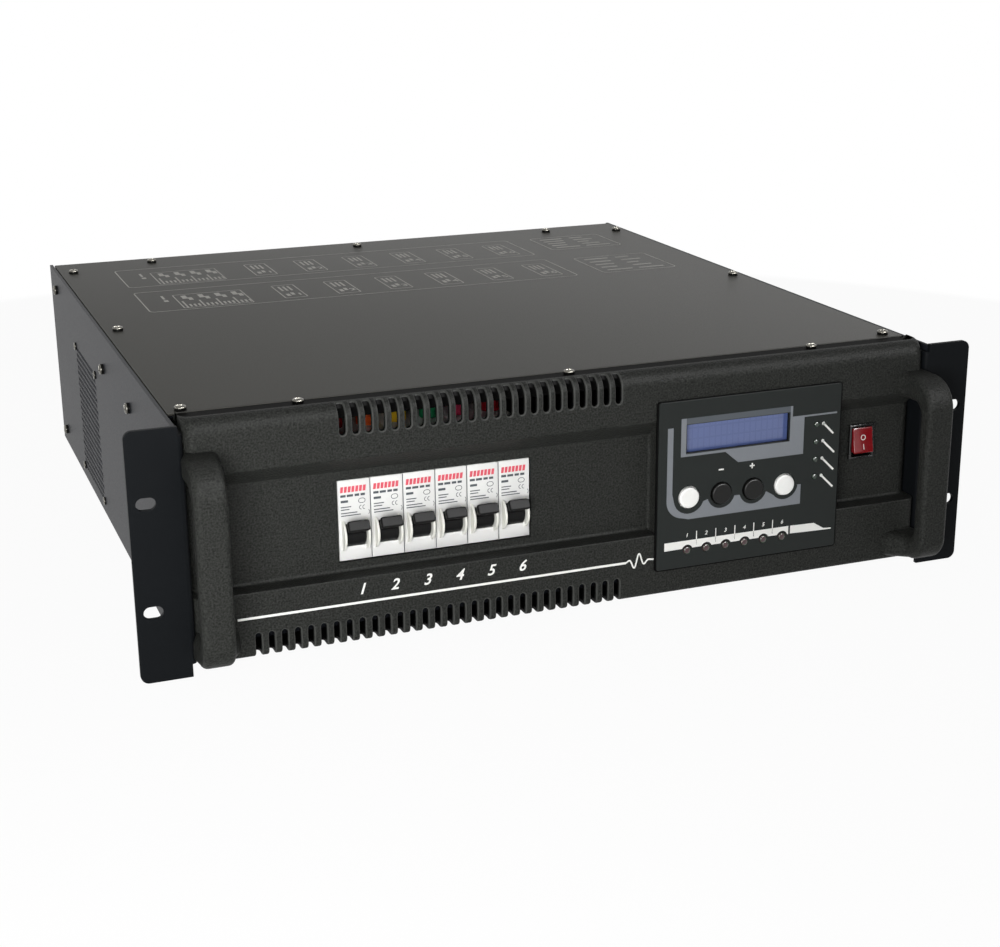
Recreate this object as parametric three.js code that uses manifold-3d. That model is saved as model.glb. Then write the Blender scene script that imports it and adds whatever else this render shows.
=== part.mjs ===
// A six-channel dimmer pack, three units high, for a 19 inch rack.
// Millimetres. +X is to the right seen from the front, +Y goes to the rear and +Z goes up.
// Inside the group y = 0 is the front of the rack ears and z = 0 is their lower edge.
// The group is then moved so that the origin lies on the surface that the feet stand on,
// under the middle of the whole object.

import * as THREE from 'three';
import { mergeVertices } from 'three/addons/utils/BufferGeometryUtils.js';
import Module from 'manifold-3d';

const wasm = await Module();
wasm.setup();

// General clearances
const fit = 0.3;
const overrun = 1;

// Rack ears
const rackWidth = 482.6;
const rackHeight = 132.5;
const earSheet = 2.5;
const earCorner = 4.5;
const earBend = 3;
const earFlangeDepth = 30;
const earReach = 24.3;
const rackSlotMargin = 8.75;
const rackSlotRise = 57.15;
const rackSlotLength = 10;
const rackSlotWidth = 6.5;

// Sheet metal body
const halfBody = rackWidth / 2 - earReach;
const bodyDepth = 448.5;
const bodyBottom = 5.2;
const bodyTopDrop = 1;
const sideSheet = 2;
const flangeSheet = 1.5;
const sideFlangeWidth = 16;
const traySheet = 1.5;
const trayFlangeHeight = 12;
const trayLipHeight = 6;
const rearSheet = 1.5;
const rearInset = 6;
const rearFlangeDepth = 30;
const coverSheet = 1.6;
const coverDrop = 0.6;
const coverGap = 0.6;
const coverFront = 27.4;
const coverRearInset = 5;
const railReach = 21;
const railLegHeight = 8;

// Feet
const footHeight = 7;
const footRadius = 9;
const footTaper = 1.5;
const footSideInset = 12;
const footFrontInset = 60;
const footRearInset = 60;

// Fan opening in the left side, intake slots in the right side
const fanSize = 92;
const fanDepth = 25;
const fanHub = 38;
const fanShaft = 6;
const fanRise = 2.3;
const fanWall = 2;
const fanStrutWidth = 5;
const fanStrutDepth = 4;
const fanTipGap = 1.5;
const bladeRootTurn = 52;
const bladeTipTurn = 28;
const bladeSweep = 16;
const bladeSections = 2;
const fanBladeCount = 7;
const fanBladeThickness = 1.6;
const grilleMargin = 4;
const grillePitch = 11;
const grilleWeb = 2.2;
const intakeSlotCount = 12;
const intakeSlotPitch = 7;
const intakeSlotWidth = 3.4;
const intakeSlotHeight = 74;

// Moulded fascia
const fasciaWall = 2.5;
const fasciaDepth = 20;
const browRadius = 16.5;
const browBottomShare = 0.7977;
const plinthRadius = 3;
const fasciaEndRadius = 6;
const fasciaFlangeReach = 15;
const recessDepth = 11;
const recessTopShare = 0.726;
const recessBottomShare = 0.3094;
const recessFillet = 2;
const upperSlotCount = 22;
const upperSlotPitch = 7.35;
const upperSlotWidth = 3.7;
const upperSlotMargin = 83.1;
const upperSlotStartTurn = 20;
const upperSlotEndTurn = 74;
const lowerSlotCount = 30;
const lowerSlotPitch = 6.94;
const lowerSlotWidth = 3;
const lowerSlotMargin = 31.7;
const lowerSlotTop = 18.3;
const lowerSlotReach = 9;

// Handles
const handleReach = 29;
const handleWidth = 16.5;
const handleOverhang = 1.6;
const handleBarDepth = 13;
const handleTopDrop = 14.5;
const handleBottom = 8;
const handleShoulder = 18;
const handleHeel = 14;
const handleHeelRise = 3;
const handleEdge = 5;
const handleFlare = 9;
const handleFlareTurn = 60;
const handleArmTop = 15;
const handleArmBottom = 15;
const handleGripRadius = 7;
const handleRoot = 6;

// Control panel
const plateWidth = 112.8;
const plateMargin = 54.9;
const plateBottomShare = 0.1532;
const plateTopShare = 0.88;
const plateSheet = 1.7;
const plateCorner = 1.2;
const blockMargin = 1;
const windowMargin = 7;
const displayMargin = 48.55;
const displayDrop = 22.05;
const displayViewWidth = 63.5;
const displayViewHeight = 16.1;
const displayFrameWidth = 80;
const displayFrameHeight = 26;
const displayFrameDepth = 6;
const displayGlassSheet = 1.2;
const displaySetback = 1.4;
const boardSheet = 1.6;
const boardSetback = 11;
const boardMargin = 0.5;
const boardPostRadius = 2.5;

// Buttons
const buttonCount = 4;
const buttonMargin = 18.9;
const buttonPitch = 19.85;
const buttonRiseShare = 0.4226;
const buttonRadius = 6;
const buttonHoleGap = 0.5;
const buttonProud = 1.6;
const buttonEdge = 0.8;
const buttonFlange = 1.2;
const buttonFlangeSheet = 1;
const buttonStem = 2.2;
const buttonTravel = 1;
const switchBody = 6;
const switchPlunger = 1.7;
const switchHeight = 3.4;

// Indicator lamps
const channelLampCount = 6;
const channelLampMargin = 18.5;
const channelLampPitch = 11.95;
const channelLampRise = 9.8;
const channelLampRadius = 2;
const statusLampCount = 4;
const statusLampMargin = 15;
const statusLampRiseShare = 0.4476;
const statusLampPitchShare = 0.1059;
const statusLampRadius = 1.4;
const lampProud = 0.3;

// Mains rocker switch
const rockerMargin = 33.1;
const rockerRiseShare = 0.6486;
const rockerBezelWidth = 16.4;
const rockerBezelHeight = 20.4;
const rockerBezelSheet = 2;
const rockerBodyWidth = 14.6;
const rockerBodyHeight = 19;
const rockerBodyDepth = 16;
const rockerWall = 1;
const rockerWellHeight = 17.6;
const rockerWidth = 12.6;
const rockerSpan = 14.8;
const rockerRadius = 7;
const rockerProud = 1.6;
const rockerTurn = 9;
const rockerBlade = 4.8;
const rockerBladeSheet = 0.8;
const rockerBladeReach = 8;

// Circuit breakers
const breakerCount = 6;
const breakerPitch = 17.8;
const bankShare = 0.5311;
const noseInset = 1;
const noseHeightShare = 0.7971;
const noseDepth = 22;
const noseChamfer = 4;
const breakerHeightShare = 0.6038;
const breakerDepth = 62;
const breakerEdge = 1;
const windowGap = 0.5;
const cheekRadius = 9;
const cheekThickness = 1.3;
const cheekSetback = 3.4;
const toggleDrop = 8.2;
const toggleWidth = 10.6;
const toggleDrum = 6.6;
const toggleGap = 0.4;
const toggleReach = 14.5;
const toggleThickness = 5.4;
const toggleTipThickness = 3.6;
const toggleRestTurn = 33;
const terminalWidth = 5;
const terminalDepth = 9;

// Mounting rail for the breakers
const topHatHeight = 35;
const topHatInner = 27;
const topHatDepth = 7.5;
const topHatSheet = 1.2;
const topHatOverlap = 4.5;
const bracketWidth = 18;
const bracketSheet = 2;
const bracketFoot = 16;

// Power electronics
const sinkGap = 13.7;
const sinkLengthShare = 0.5023;
const sinkDepth = 76;
const sinkBase = 8;
const sinkHeight = 58;
const sinkFinCount = 10;
const sinkFinSheet = 2;
const sinkLegHeight = 10;
const triacWidth = 20;
const triacDepth = 5;
const triacHeight = 24;
const chokeCount = 6;
const chokePitchShare = 0.1349;
const chokeInner = 11;
const chokeHeight = 26;
const chokeSpacing = 4;
const chokeMargin = 14;
const chokeFrontGap = 21;
const chokeRearGap = 16.8;
const powerBoardLeftMargin = 17.4;
const powerBoardRightMargin = 45.8;
const powerBoardGap = 3;
const powerBoardDepth = 70;
const powerBoardLevel = 22;
const powerBoardPost = 3.5;
const powerBoardInset = 8;
const connectorWidth = 12;
const connectorDepth = 10;
const connectorHeight = 14;
const coreWidth = 48;
const coreDepth = 40;
const coreHeight = 40;
const coilWidth = 30;
const coilOverhang = 7;
const coreMargin = 65;
const coreSetback = 14;
const coreFootSheet = 2;
const coreFootOverhang = 9;

// Supply wires from the rail of breakers to the power board
const wireRadius = 2.4;
const wireLead = 1;
const wireBend = 16;
const wireSides = 6;

// Rear connections
const mainsPoles = 5;
const mainsPolePitch = 13;
const mainsMargin = 39;
const outputPoles = 18;
const outputPolePitch = 11;
const stripGap = 23;
const stripHeight = 24;
const stripDepth = 15;
const stripBarrier = 1.6;
const stripBarrierRise = 3.5;
const stripBottom = 28;
const stripPlug = 8;
const connectorFlangeWidth = 26;
const connectorFlangeHeight = 31;
const connectorFlangeSheet = 2.5;
const connectorCorner = 3;
const connectorBarrel = 11.5;
const connectorBore = 9.6;
const connectorBoreDepth = 13;
const connectorBodyDepth = 20;
const connectorPinCircle = 5.5;
const connectorPinRadius = 1.2;
const connectorRow = 88;
const connectorMargin = 35;
const connectorPitch = 40;
const glandMargin = 65;
const glandRow = 92;
const glandRadius = 15;
const glandNut = 12.5;
const glandBore = 8;
const glandReach = 20;
const glandDome = 2.5;
const glandSides = 6;

// How finely round shapes are cut
const fineSteps = 20;
const roundSteps = 12;
const smallSteps = 8;
const cornerSteps = 3;
const slotSteps = 2;

// Places that follow from the sizes above
const sideInner = halfBody - sideSheet;
const bodyTop = rackHeight - bodyTopDrop;
const coverTop = rackHeight - coverDrop;
const seatLevel = coverTop - coverSheet - fit;
const flangeUnderside = seatLevel - flangeSheet;
const trayTop = bodyBottom + traySheet;
const rearFace = bodyDepth - rearInset;
const rearInside = rearFace - rearSheet;
const earFlangeOuter = sideInner - fit;
const earFlangeInner = earFlangeOuter - earSheet;
const fasciaHalf = earFlangeInner - fit;
const fasciaSeat = flangeUnderside - fit;
const browBottom = rackHeight * browBottomShare;
const recessTop = rackHeight * recessTopShare;
const recessBottom = rackHeight * recessBottomShare;
const recessHeight = recessTop - recessBottom;
const handleOuter = fasciaHalf + handleOverhang;
const handleInner = handleOuter - handleWidth;
const handleTop = rackHeight - handleTopDrop;
const plateRight = fasciaHalf - plateMargin;
const plateLeft = plateRight - plateWidth;
const plateBottom = rackHeight * plateBottomShare;
const plateTop = rackHeight * plateTopShare;
const plateHeight = plateTop - plateBottom;
const displayCentre = plateLeft + displayMargin;
const displayHeight = plateTop - displayDrop;
const buttonRow = plateBottom + plateHeight * buttonRiseShare;
const rockerCentre = fasciaHalf - rockerMargin;
const rockerHeight = recessBottom + recessHeight * rockerRiseShare;
const bankWidth = breakerCount * breakerPitch;
const bankLeft = -fasciaHalf + (plateLeft + fasciaHalf - bankWidth) * bankShare;
const bankRight = bankLeft + bankWidth;
const breakerMiddle = recessBottom + recessHeight / 2;
const breakerHeight = rackHeight * breakerHeightShare;
const breakerTop = breakerMiddle + breakerHeight / 2;
const noseHeight = recessHeight * noseHeightShare;
const noseFace = recessDepth + noseInset;
const breakerBack = noseFace + breakerDepth;
const topHatFront = breakerBack - topHatOverlap;
const plateBack = -fit;
const plateFront = plateBack - plateSheet;
const blockLeft = plateLeft + blockMargin;
const blockRight = plateRight - blockMargin;
const buttonHole = buttonRadius + buttonHoleGap;
const fanBore = fanSize - 2 * fanWall;
const fanOuterFace = -sideInner + fit;
const fanInnerFace = fanOuterFace + fanDepth;
const powerBoardLeft = bankLeft - powerBoardLeftMargin;
const powerBoardRight = bankRight + powerBoardRightMargin;
const powerBoardFront = topHatFront + topHatDepth + bracketFoot + powerBoardGap;
const chokePitch = 2 * sideInner * chokePitchShare;
const chokeOuter = (chokePitch - chokeSpacing) / 2;
const chokeRow = powerBoardFront + powerBoardDepth + chokeFrontGap + chokeOuter;
const sinkLeft = fanInnerFace + sinkGap;
const sinkLength = 2 * sideInner * sinkLengthShare;
const sinkFront = chokeRow + chokeOuter + chokeRearGap + triacDepth;
const triacPitch = sinkLength / channelLampCount;
const fanCentreDepth = sinkFront + sinkDepth / 2;
const fanCentreHeight = trayTop + fanRise + fanSize / 2;
const coreCentre = sideInner - coreMargin;
const coreFront = powerBoardFront + coreSetback;
const mainsLeft = -sideInner + mainsMargin;
const outputLeft = mainsLeft + mainsPoles * mainsPolePitch + stripGap;
const outputCentre = sideInner - connectorMargin;
const inputCentre = outputCentre - connectorPitch;
const glandCentre = -sideInner + glandMargin;

// Finishes: colour, roughness and metalness
const finishes = {
  fascia: [0x2b2b29, 0.62, 0],
  ear: [0x1f2122, 0.5, 0.2],
  side: [0x4d4e54, 0.5, 0.3],
  cover: [0x4c4a46, 0.45, 0.3],
  steel: [0xb9bcc0, 0.35, 1],
  zinc: [0xa8a59a, 0.4, 1],
  plate: [0x262b2b, 0.4, 0],
  display: [0x5a68b0, 0.2, 0],
  board: [0x1f5a34, 0.5, 0],
  white: [0xf2f2ee, 0.4, 0],
  black: [0x121212, 0.4, 0],
  red: [0xb51220, 0.25, 0],
  alloy: [0xb4b6b8, 0.4, 1],
  ferrite: [0x8a5a2c, 0.45, 0.4],
  rubber: [0x111111, 0.85, 0],
  strip: [0x1b1b1d, 0.5, 0],
  wireRed: [0xa8202a, 0.45, 0],
  wireOrange: [0xd9612a, 0.45, 0],
  wireYellow: [0xd8a21c, 0.45, 0],
  wireGreen: [0x1d6b46, 0.45, 0],
  wirePink: [0xb8305a, 0.45, 0],
};

// Point lists for outlines; each point is [across, up] in the plane of the outline

const degrees = (angle) => THREE.MathUtils.degToRad(angle);

function arc(centreA, centreB, radius, from, to, steps = cornerSteps) {
  const points = [];
  for (let step = 0; step <= steps; step += 1) {
    const angle = degrees(from + ((to - from) * step) / steps);
    points.push([centreA + radius * Math.cos(angle), centreB + radius * Math.sin(angle)]);
  }
  return points;
}

function circle(centreA, centreB, radius, steps = roundSteps) {
  return arc(centreA, centreB, radius, 0, 360, steps).slice(0, steps);
}

function rectangle(left, right, low, high) {
  return [[left, low], [right, low], [right, high], [left, high]];
}

function centredRectangle(centreA, centreB, width, height) {
  const [halfWidth, halfHeight] = [width / 2, height / 2];
  return rectangle(centreA - halfWidth, centreA + halfWidth, centreB - halfHeight, centreB + halfHeight);
}

function roundedRectangle(left, right, low, high, radius, steps = cornerSteps) {
  return [
    ...arc(left + radius, low + radius, radius, 180, 270, steps),
    ...arc(right - radius, low + radius, radius, 270, 360, steps),
    ...arc(right - radius, high - radius, radius, 0, 90, steps),
    ...arc(left + radius, high - radius, radius, 90, 180, steps),
  ];
}

// A slot with two half-round ends, standing up when it is higher than it is wide
function slot(centreA, centreB, width, height, steps = 2 * cornerSteps) {
  const radius = Math.min(width, height) / 2;
  const half = Math.max(width, height) / 2 - radius;
  if (height > width) {
    return [
      ...arc(centreA, centreB + half, radius, 0, 180, steps),
      ...arc(centreA, centreB - half, radius, 180, 360, steps),
    ];
  }
  return [
    ...arc(centreA + half, centreB, radius, -90, 90, steps),
    ...arc(centreA - half, centreB, radius, 90, 270, steps),
  ];
}

// Moves every edge of a counter-clockwise outline inwards, or outwards where the distance is negative
function inset(points, distance) {
  const count = points.length;
  const lines = points.map(([a, b], index) => {
    const [nextA, nextB] = points[(index + 1) % count];
    const length = Math.hypot(nextA - a, nextB - b);
    const along = [(nextA - a) / length, (nextB - b) / length];
    return { start: [a - along[1] * distance, b + along[0] * distance], along };
  });
  return lines.map((line, index) => {
    const previous = lines[(index + count - 1) % count];
    const turn = previous.along[0] * line.along[1] - previous.along[1] * line.along[0];
    if (Math.abs(turn) < Number.EPSILON) return line.start;
    const gapA = line.start[0] - previous.start[0];
    const gapB = line.start[1] - previous.start[1];
    const reach = (gapA * line.along[1] - gapB * line.along[0]) / turn;
    return previous.start.map((value, axis) => value + previous.along[axis] * reach);
  });
}

function mirrored(points) {
  return points.map(([a, b]) => [-a, b]).reverse();
}

// Solids

function toSolid(geometry) {
  const bare = geometry.clone();
  bare.deleteAttribute('normal');
  bare.deleteAttribute('uv');
  const merged = mergeVertices(bare);
  return new wasm.Manifold(new wasm.Mesh({
    numProp: 3,
    vertProperties: new Float32Array(merged.attributes.position.array),
    triVerts: new Uint32Array(merged.index.array),
  }));
}

function toGeometry(body) {
  const mesh = body.getMesh();
  const geometry = new THREE.BufferGeometry();
  geometry.setAttribute('position', new THREE.BufferAttribute(new Float32Array(mesh.vertProperties), 3));
  geometry.setIndex(new THREE.BufferAttribute(new Uint32Array(mesh.triVerts), 1));
  geometry.computeVertexNormals();
  return geometry;
}

// A closed skin over rings of points that have the same count
function skinned(rings) {
  const size = rings[0].length;
  const last = (rings.length - 1) * size;
  const faces = [];
  for (let start = 0; start < last; start += size) {
    for (let step = 0; step < size; step += 1) {
      const next = (step + 1) % size;
      faces.push(start + step, start + size + next, start + next);
      faces.push(start + step, start + size + step, start + size + next);
    }
  }
  for (let step = 1; step < size - 1; step += 1) {
    faces.push(0, step, step + 1);
    faces.push(last, last + step + 1, last + step);
  }
  const geometry = new THREE.BufferGeometry();
  geometry.setAttribute('position', new THREE.Float32BufferAttribute(rings.flat(2), 3));
  geometry.setIndex(faces);
  return toSolid(geometry);
}

const axisX = new THREE.Vector3(1, 0, 0);
const axisY = new THREE.Vector3(0, 1, 0);
const axisZ = new THREE.Vector3(0, 0, 1);

function extruded(outline, length, holes = []) {
  const toPath = (points) => points.map(([a, b]) => new THREE.Vector2(a, b));
  const shape = new THREE.Shape(toPath(outline));
  shape.holes = holes.map((hole) => new THREE.Path(toPath(hole)));
  return new THREE.ExtrudeGeometry(shape, { depth: length, bevelEnabled: false });
}

// The outline is in (y, z) and runs along X
function prismX(outline, left, right, holes) {
  const geometry = extruded(outline, right - left, holes);
  geometry.applyMatrix4(new THREE.Matrix4().makeBasis(axisY, axisZ, axisX));
  geometry.translate(left, 0, 0);
  return toSolid(geometry);
}

// The outline is in (x, z) and runs along Y
function prismY(outline, front, back, holes) {
  const geometry = extruded(outline, back - front, holes);
  geometry.applyMatrix4(new THREE.Matrix4().makeBasis(axisX, axisZ, axisY.clone().negate()));
  geometry.translate(0, back, 0);
  return toSolid(geometry);
}

// The outline is in (x, y) and runs along Z
function prismZ(outline, low, high, holes) {
  const geometry = extruded(outline, high - low, holes);
  geometry.translate(0, 0, low);
  return toSolid(geometry);
}

function block(left, right, front, back, low, high) {
  return prismZ(rectangle(left, right, front, back), low, high);
}

// A turned solid about Y: the profile is [radius, distance towards the rear]
function turnedY(profile, steps = roundSteps) {
  const points = profile.map(([radius, along]) => new THREE.Vector2(radius, along));
  const geometry = new THREE.LatheGeometry(points, steps);
  return toSolid(geometry);
}

function turnedZ(profile, steps = roundSteps) {
  const points = profile.map(([radius, along]) => new THREE.Vector2(radius, along));
  const geometry = new THREE.LatheGeometry(points, steps);
  geometry.rotateX(Math.PI / 2);
  return toSolid(geometry);
}

function joined(bodies) {
  return bodies.reduce((sum, body) => sum.add(body));
}

function cut(body, cutters) {
  return cutters.length ? body.subtract(joined(cutters)) : body;
}

function repeated(count, make) {
  return Array.from({ length: count }, (unused, index) => make(index));
}

const pack = new THREE.Group();

function piece(name, body, finish) {
  const [colour, roughness, metalness] = finishes[finish];
  const material = new THREE.MeshStandardMaterial({ color: colour, roughness, metalness });
  const mesh = new THREE.Mesh(toGeometry(body), material);
  mesh.name = name;
  pack.add(mesh);
  return mesh;
}

// Rack ears: a front plate with rounded outer corners, bent back into a flange inside the side wall

function rackEar(side) {
  const outer = rackWidth / 2;
  const slotPlace = outer - rackSlotMargin;
  const plan = [
    [earFlangeInner, earFlangeDepth],
    [earFlangeInner, earBend],
    ...arc(earFlangeInner + earBend, earBend, earBend, 180, 270),
    [outer, 0],
    [outer, earSheet],
    [earFlangeOuter, earSheet],
    [earFlangeOuter, earFlangeDepth],
  ];
  const oriented = side > 0 ? plan : mirrored(plan);
  const bent = prismZ(oriented.filter(distinct), 0, rackHeight);
  const bendEdge = earFlangeInner + earBend;
  const face = roundedRectangle(-outer, outer, 0, rackHeight, earCorner);
  const flangeZone = rectangle(-bendEdge, bendEdge, trayTop + fit, fasciaSeat);
  const plateZone = joined([
    prismY(rectangle(-outer, -bendEdge, 0, rackHeight), -overrun, earFlangeDepth),
    prismY(rectangle(bendEdge, outer, 0, rackHeight), -overrun, earFlangeDepth),
    prismY(flangeZone, -overrun, earFlangeDepth + overrun),
  ]);
  const slots = [-1, 1].map((level) => prismY(
    slot(side * slotPlace, rackHeight / 2 + level * rackSlotRise / 2, rackSlotLength, rackSlotWidth),
    -overrun, earSheet + overrun,
  ));
  const clipped = bent.intersect(prismY(face, -overrun, earFlangeDepth + overrun)).intersect(plateZone);
  return cut(clipped, slots);
}

function distinct([a, b], index, points) {
  const [lastA, lastB] = points[(index + points.length - 1) % points.length];
  return Math.hypot(a - lastA, b - lastB) > Number.EPSILON * rackWidth;
}

// Side panels: an upright wall with a welded seat along its top for the cover

function sideWall(side) {
  const wallFront = earSheet + fit;
  const near = side * sideInner;
  const far = side * halfBody;
  const wall = block(Math.min(near, far), Math.max(near, far), wallFront, bodyDepth, bodyBottom, bodyTop);
  const seatEdge = side * (sideInner - sideFlangeWidth);
  const root = side * (sideInner + sideSheet / 2);
  const seatFront = coverFront + fit + flangeSheet;
  const seat = block(
    Math.min(seatEdge, root), Math.max(seatEdge, root),
    seatFront, rearInside - fit, flangeUnderside, seatLevel,
  );
  return wall.add(seat);
}

// Diamond openings in a staggered field, as in pressed grilles
function grilleCutters() {
  const reach = (grillePitch - grilleWeb * Math.SQRT2) / 2;
  const columns = Math.floor((fanSize - 2 * grilleMargin) / grillePitch);
  const start = (-(columns - 1) * grillePitch) / 2;
  const diamond = (y, z) => [[y - reach, z], [y, z - reach], [y + reach, z], [y, z + reach]];
  const fields = [];
  for (const shift of [0, grillePitch / 2]) {
    const count = shift ? columns - 1 : columns;
    for (let row = 0; row < count; row += 1) {
      for (let column = 0; column < count; column += 1) {
        const y = fanCentreDepth + start + shift + column * grillePitch;
        const z = fanCentreHeight + start + shift + row * grillePitch;
        fields.push(prismX(diamond(y, z), -halfBody - overrun, -sideInner + overrun));
      }
    }
  }
  return fields;
}

function intakeCutters() {
  return repeated(intakeSlotCount, (index) => {
    const y = fanCentreDepth + (index - (intakeSlotCount - 1) / 2) * intakeSlotPitch;
    const outline = slot(y, fanCentreHeight, intakeSlotWidth, intakeSlotHeight, slotSteps);
    return prismX(outline, sideInner - overrun, halfBody + overrun);
  });
}

// Base tray: a flat sheet with low flanges along its sides, front and rear

function baseTray() {
  const half = sideInner - fit;
  const front = fasciaDepth + fit;
  const flangeFront = earFlangeDepth + fit;
  const sheet = block(-half, half, front, rearFace, bodyBottom, trayTop);
  const flanges = [-1, 1].map((side) => {
    const outer = side * half;
    const inner = side * (half - traySheet);
    return block(
      Math.min(outer, inner), Math.max(outer, inner),
      flangeFront, rearInside - rearSheet - fit, bodyBottom, bodyBottom + trayFlangeHeight,
    );
  });
  const lipHalf = half - sideFlangeWidth;
  const lip = block(-lipHalf, lipHalf, front, front + traySheet, bodyBottom, bodyBottom + trayLipHeight);
  const fanReach = fanSize / 2 + fit;
  const fanNotch = block(
    -half - overrun, overrun + traySheet - half, fanCentreDepth - fanReach, fanCentreDepth + fanReach,
    fanCentreHeight - fanReach, fanCentreHeight,
  );
  return cut(joined([sheet, lip, ...flanges]), [fanNotch]);
}

// Rear panel: a plate that stands on the tray, folded forward along the top and both sides

function rearPanel() {
  const half = sideInner - fit;
  const low = trayTop + fit;
  const plate = block(-half, half, rearInside, rearFace, low, seatLevel);
  const topHalf = sideInner - sideFlangeWidth - fit;
  const fold = block(
    -topHalf, topHalf, rearFace - rearFlangeDepth, rearInside + rearSheet / 2,
    seatLevel - rearSheet, seatLevel,
  );
  const openings = [
    stripOpening(mainsLeft, mainsPoles * mainsPolePitch),
    stripOpening(outputLeft, outputPoles * outputPolePitch),
    bodyOpening(inputCentre, connectorRow, connectorBarrel + fit),
    bodyOpening(outputCentre, connectorRow, connectorBarrel + fit),
    bodyOpening(glandCentre, glandRow, glandNut - fit),
  ];
  return cut(plate.add(fold), openings);
}

function stripOpening(left, length) {
  const middle = stripBottom + stripHeight / 2;
  const outline = rectangle(
    left + stripPlug / 2 - fit, left + length - stripPlug / 2 + fit,
    middle - stripPlug / 2 - fit, middle + stripPlug / 2 + fit,
  );
  return prismY(outline, rearInside - overrun, rearFace + overrun);
}

function bodyOpening(x, z, radius) {
  return prismY(circle(x, z, radius), rearInside - overrun, rearFace + overrun);
}

// Top cover and the front rail that carries its front edge and the fascia

function topCover() {
  const half = halfBody - sideSheet - coverGap;
  return block(-half, half, coverFront, bodyDepth - coverRearInset, coverTop - coverSheet, coverTop);
}

function frontRail() {
  const half = sideInner - fit;
  const innerHalf = sideInner - sideFlangeWidth - fit;
  const front = browRadius + fit;
  const step = coverFront + flangeSheet;
  const back = coverFront + railReach;
  const outline = [
    [-half, front], [half, front], [half, step],
    [innerHalf, step], [innerHalf, back], [-innerHalf, back], [-innerHalf, step], [-half, step],
  ];
  const leg = block(
    -innerHalf, innerHalf, back - flangeSheet, back,
    flangeUnderside - railLegHeight, seatLevel,
  );
  return prismZ(outline, flangeUnderside, seatLevel).add(leg);
}

// Fascia: one moulding with a rounded brow, a recessed middle and a plinth

// Side view of the fascia's outer skin, open towards the rear at the given depth
function fasciaProfile(back) {
  return [
    ...arc(browRadius, seatLevel - browRadius, browRadius, 90, 180, 2 * cornerSteps),
    ...arc(plinthRadius, bodyBottom + plinthRadius, plinthRadius, 180, 270),
    [back, bodyBottom],
    [back, fasciaSeat],
    [browRadius, fasciaSeat],
  ];
}

function fasciaPlan(back) {
  return [
    [-fasciaHalf, back],
    ...arc(-fasciaHalf + fasciaEndRadius, fasciaEndRadius, fasciaEndRadius, 180, 270),
    ...arc(fasciaHalf - fasciaEndRadius, fasciaEndRadius, fasciaEndRadius, 270, 360),
    [fasciaHalf, back],
  ];
}

// Side view of the space in front of the recessed middle
function recessProfile(reach) {
  return [
    [-reach, browBottom],
    [-reach, recessBottom],
    ...arc(recessDepth - recessFillet, recessBottom + recessFillet, recessFillet, 270, 360),
    [recessDepth, recessTop],
    [0, browBottom],
  ];
}

// What is cut away at a free end of the recess, where its floor turns back with the end radius
function recessEnd(side, shrink) {
  const centre = side * (fasciaHalf - fasciaEndRadius);
  const beyond = side * (fasciaHalf + fasciaEndRadius);
  const corner = block(
    Math.min(centre, beyond), Math.max(centre, beyond),
    recessDepth - overrun, recessDepth + fasciaEndRadius, recessBottom - shrink, recessTop + shrink,
  );
  const turn = circle(centre, recessDepth + fasciaEndRadius, fasciaEndRadius - shrink, 4 * cornerSteps);
  return corner.subtract(prismZ(turn, 0, rackHeight));
}

// The solid that the fascia fills, shrunk by a distance, or grown where it is negative
function fasciaEnvelope(shrink, back) {
  const reach = rackWidth;
  const profile = prismX(inset(fasciaProfile(back), shrink), -reach, reach);
  const plan = prismZ(inset(fasciaPlan(back), shrink), -overrun, rackHeight);
  const space = inset(recessProfile(handleReach), -shrink);
  const leftBay = prismX(space, -reach, blockLeft + shrink);
  const rightBay = prismX(space, blockRight - shrink, reach);
  const ends = [-1, 1].map((side) => recessEnd(side, shrink));
  return cut(profile.intersect(plan), [leftBay, rightBay, ...ends]);
}

// Slots that wrap over the rounded brow, cut square to the slope between their two ends
function upperSlotCutters() {
  const centreDepth = browRadius;
  const centreLevel = seatLevel - browRadius;
  const onBrow = (turn) => new THREE.Vector3(
    0,
    centreDepth - browRadius * Math.sin(degrees(turn)),
    centreLevel + browRadius * Math.cos(degrees(turn)),
  );
  const high = onBrow(upperSlotStartTurn);
  const low = onBrow(upperSlotEndTurn);
  const along = high.clone().sub(low);
  const length = along.length();
  along.normalize();
  const outward = new THREE.Vector3().crossVectors(axisX, along);
  const middle = high.add(low).multiplyScalar(1 / 2);
  const reach = fasciaWall + overrun;
  return repeated(upperSlotCount, (index) => {
    const outline = slot(0, 0, upperSlotWidth, length + upperSlotWidth / 2, slotSteps);
    const geometry = extruded(outline, 2 * reach);
    geometry.translate(0, 0, -reach);
    geometry.applyMatrix4(new THREE.Matrix4().makeBasis(axisX, along, outward).setPosition(middle));
    geometry.translate(-fasciaHalf + upperSlotMargin + index * upperSlotPitch, 0, 0);
    return toSolid(geometry);
  });
}

// Slots in the plinth that run down through its lower edge
function lowerSlotCutters() {
  const radius = lowerSlotWidth / 2;
  return repeated(lowerSlotCount, (index) => {
    const x = -fasciaHalf + lowerSlotMargin + index * lowerSlotPitch;
    const outline = [
      ...arc(x, lowerSlotTop - radius, radius, 0, 180, slotSteps),
      [x - radius, bodyBottom - overrun],
      [x + radius, bodyBottom - overrun],
    ];
    return prismY(outline, -overrun, lowerSlotReach);
  });
}

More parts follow.
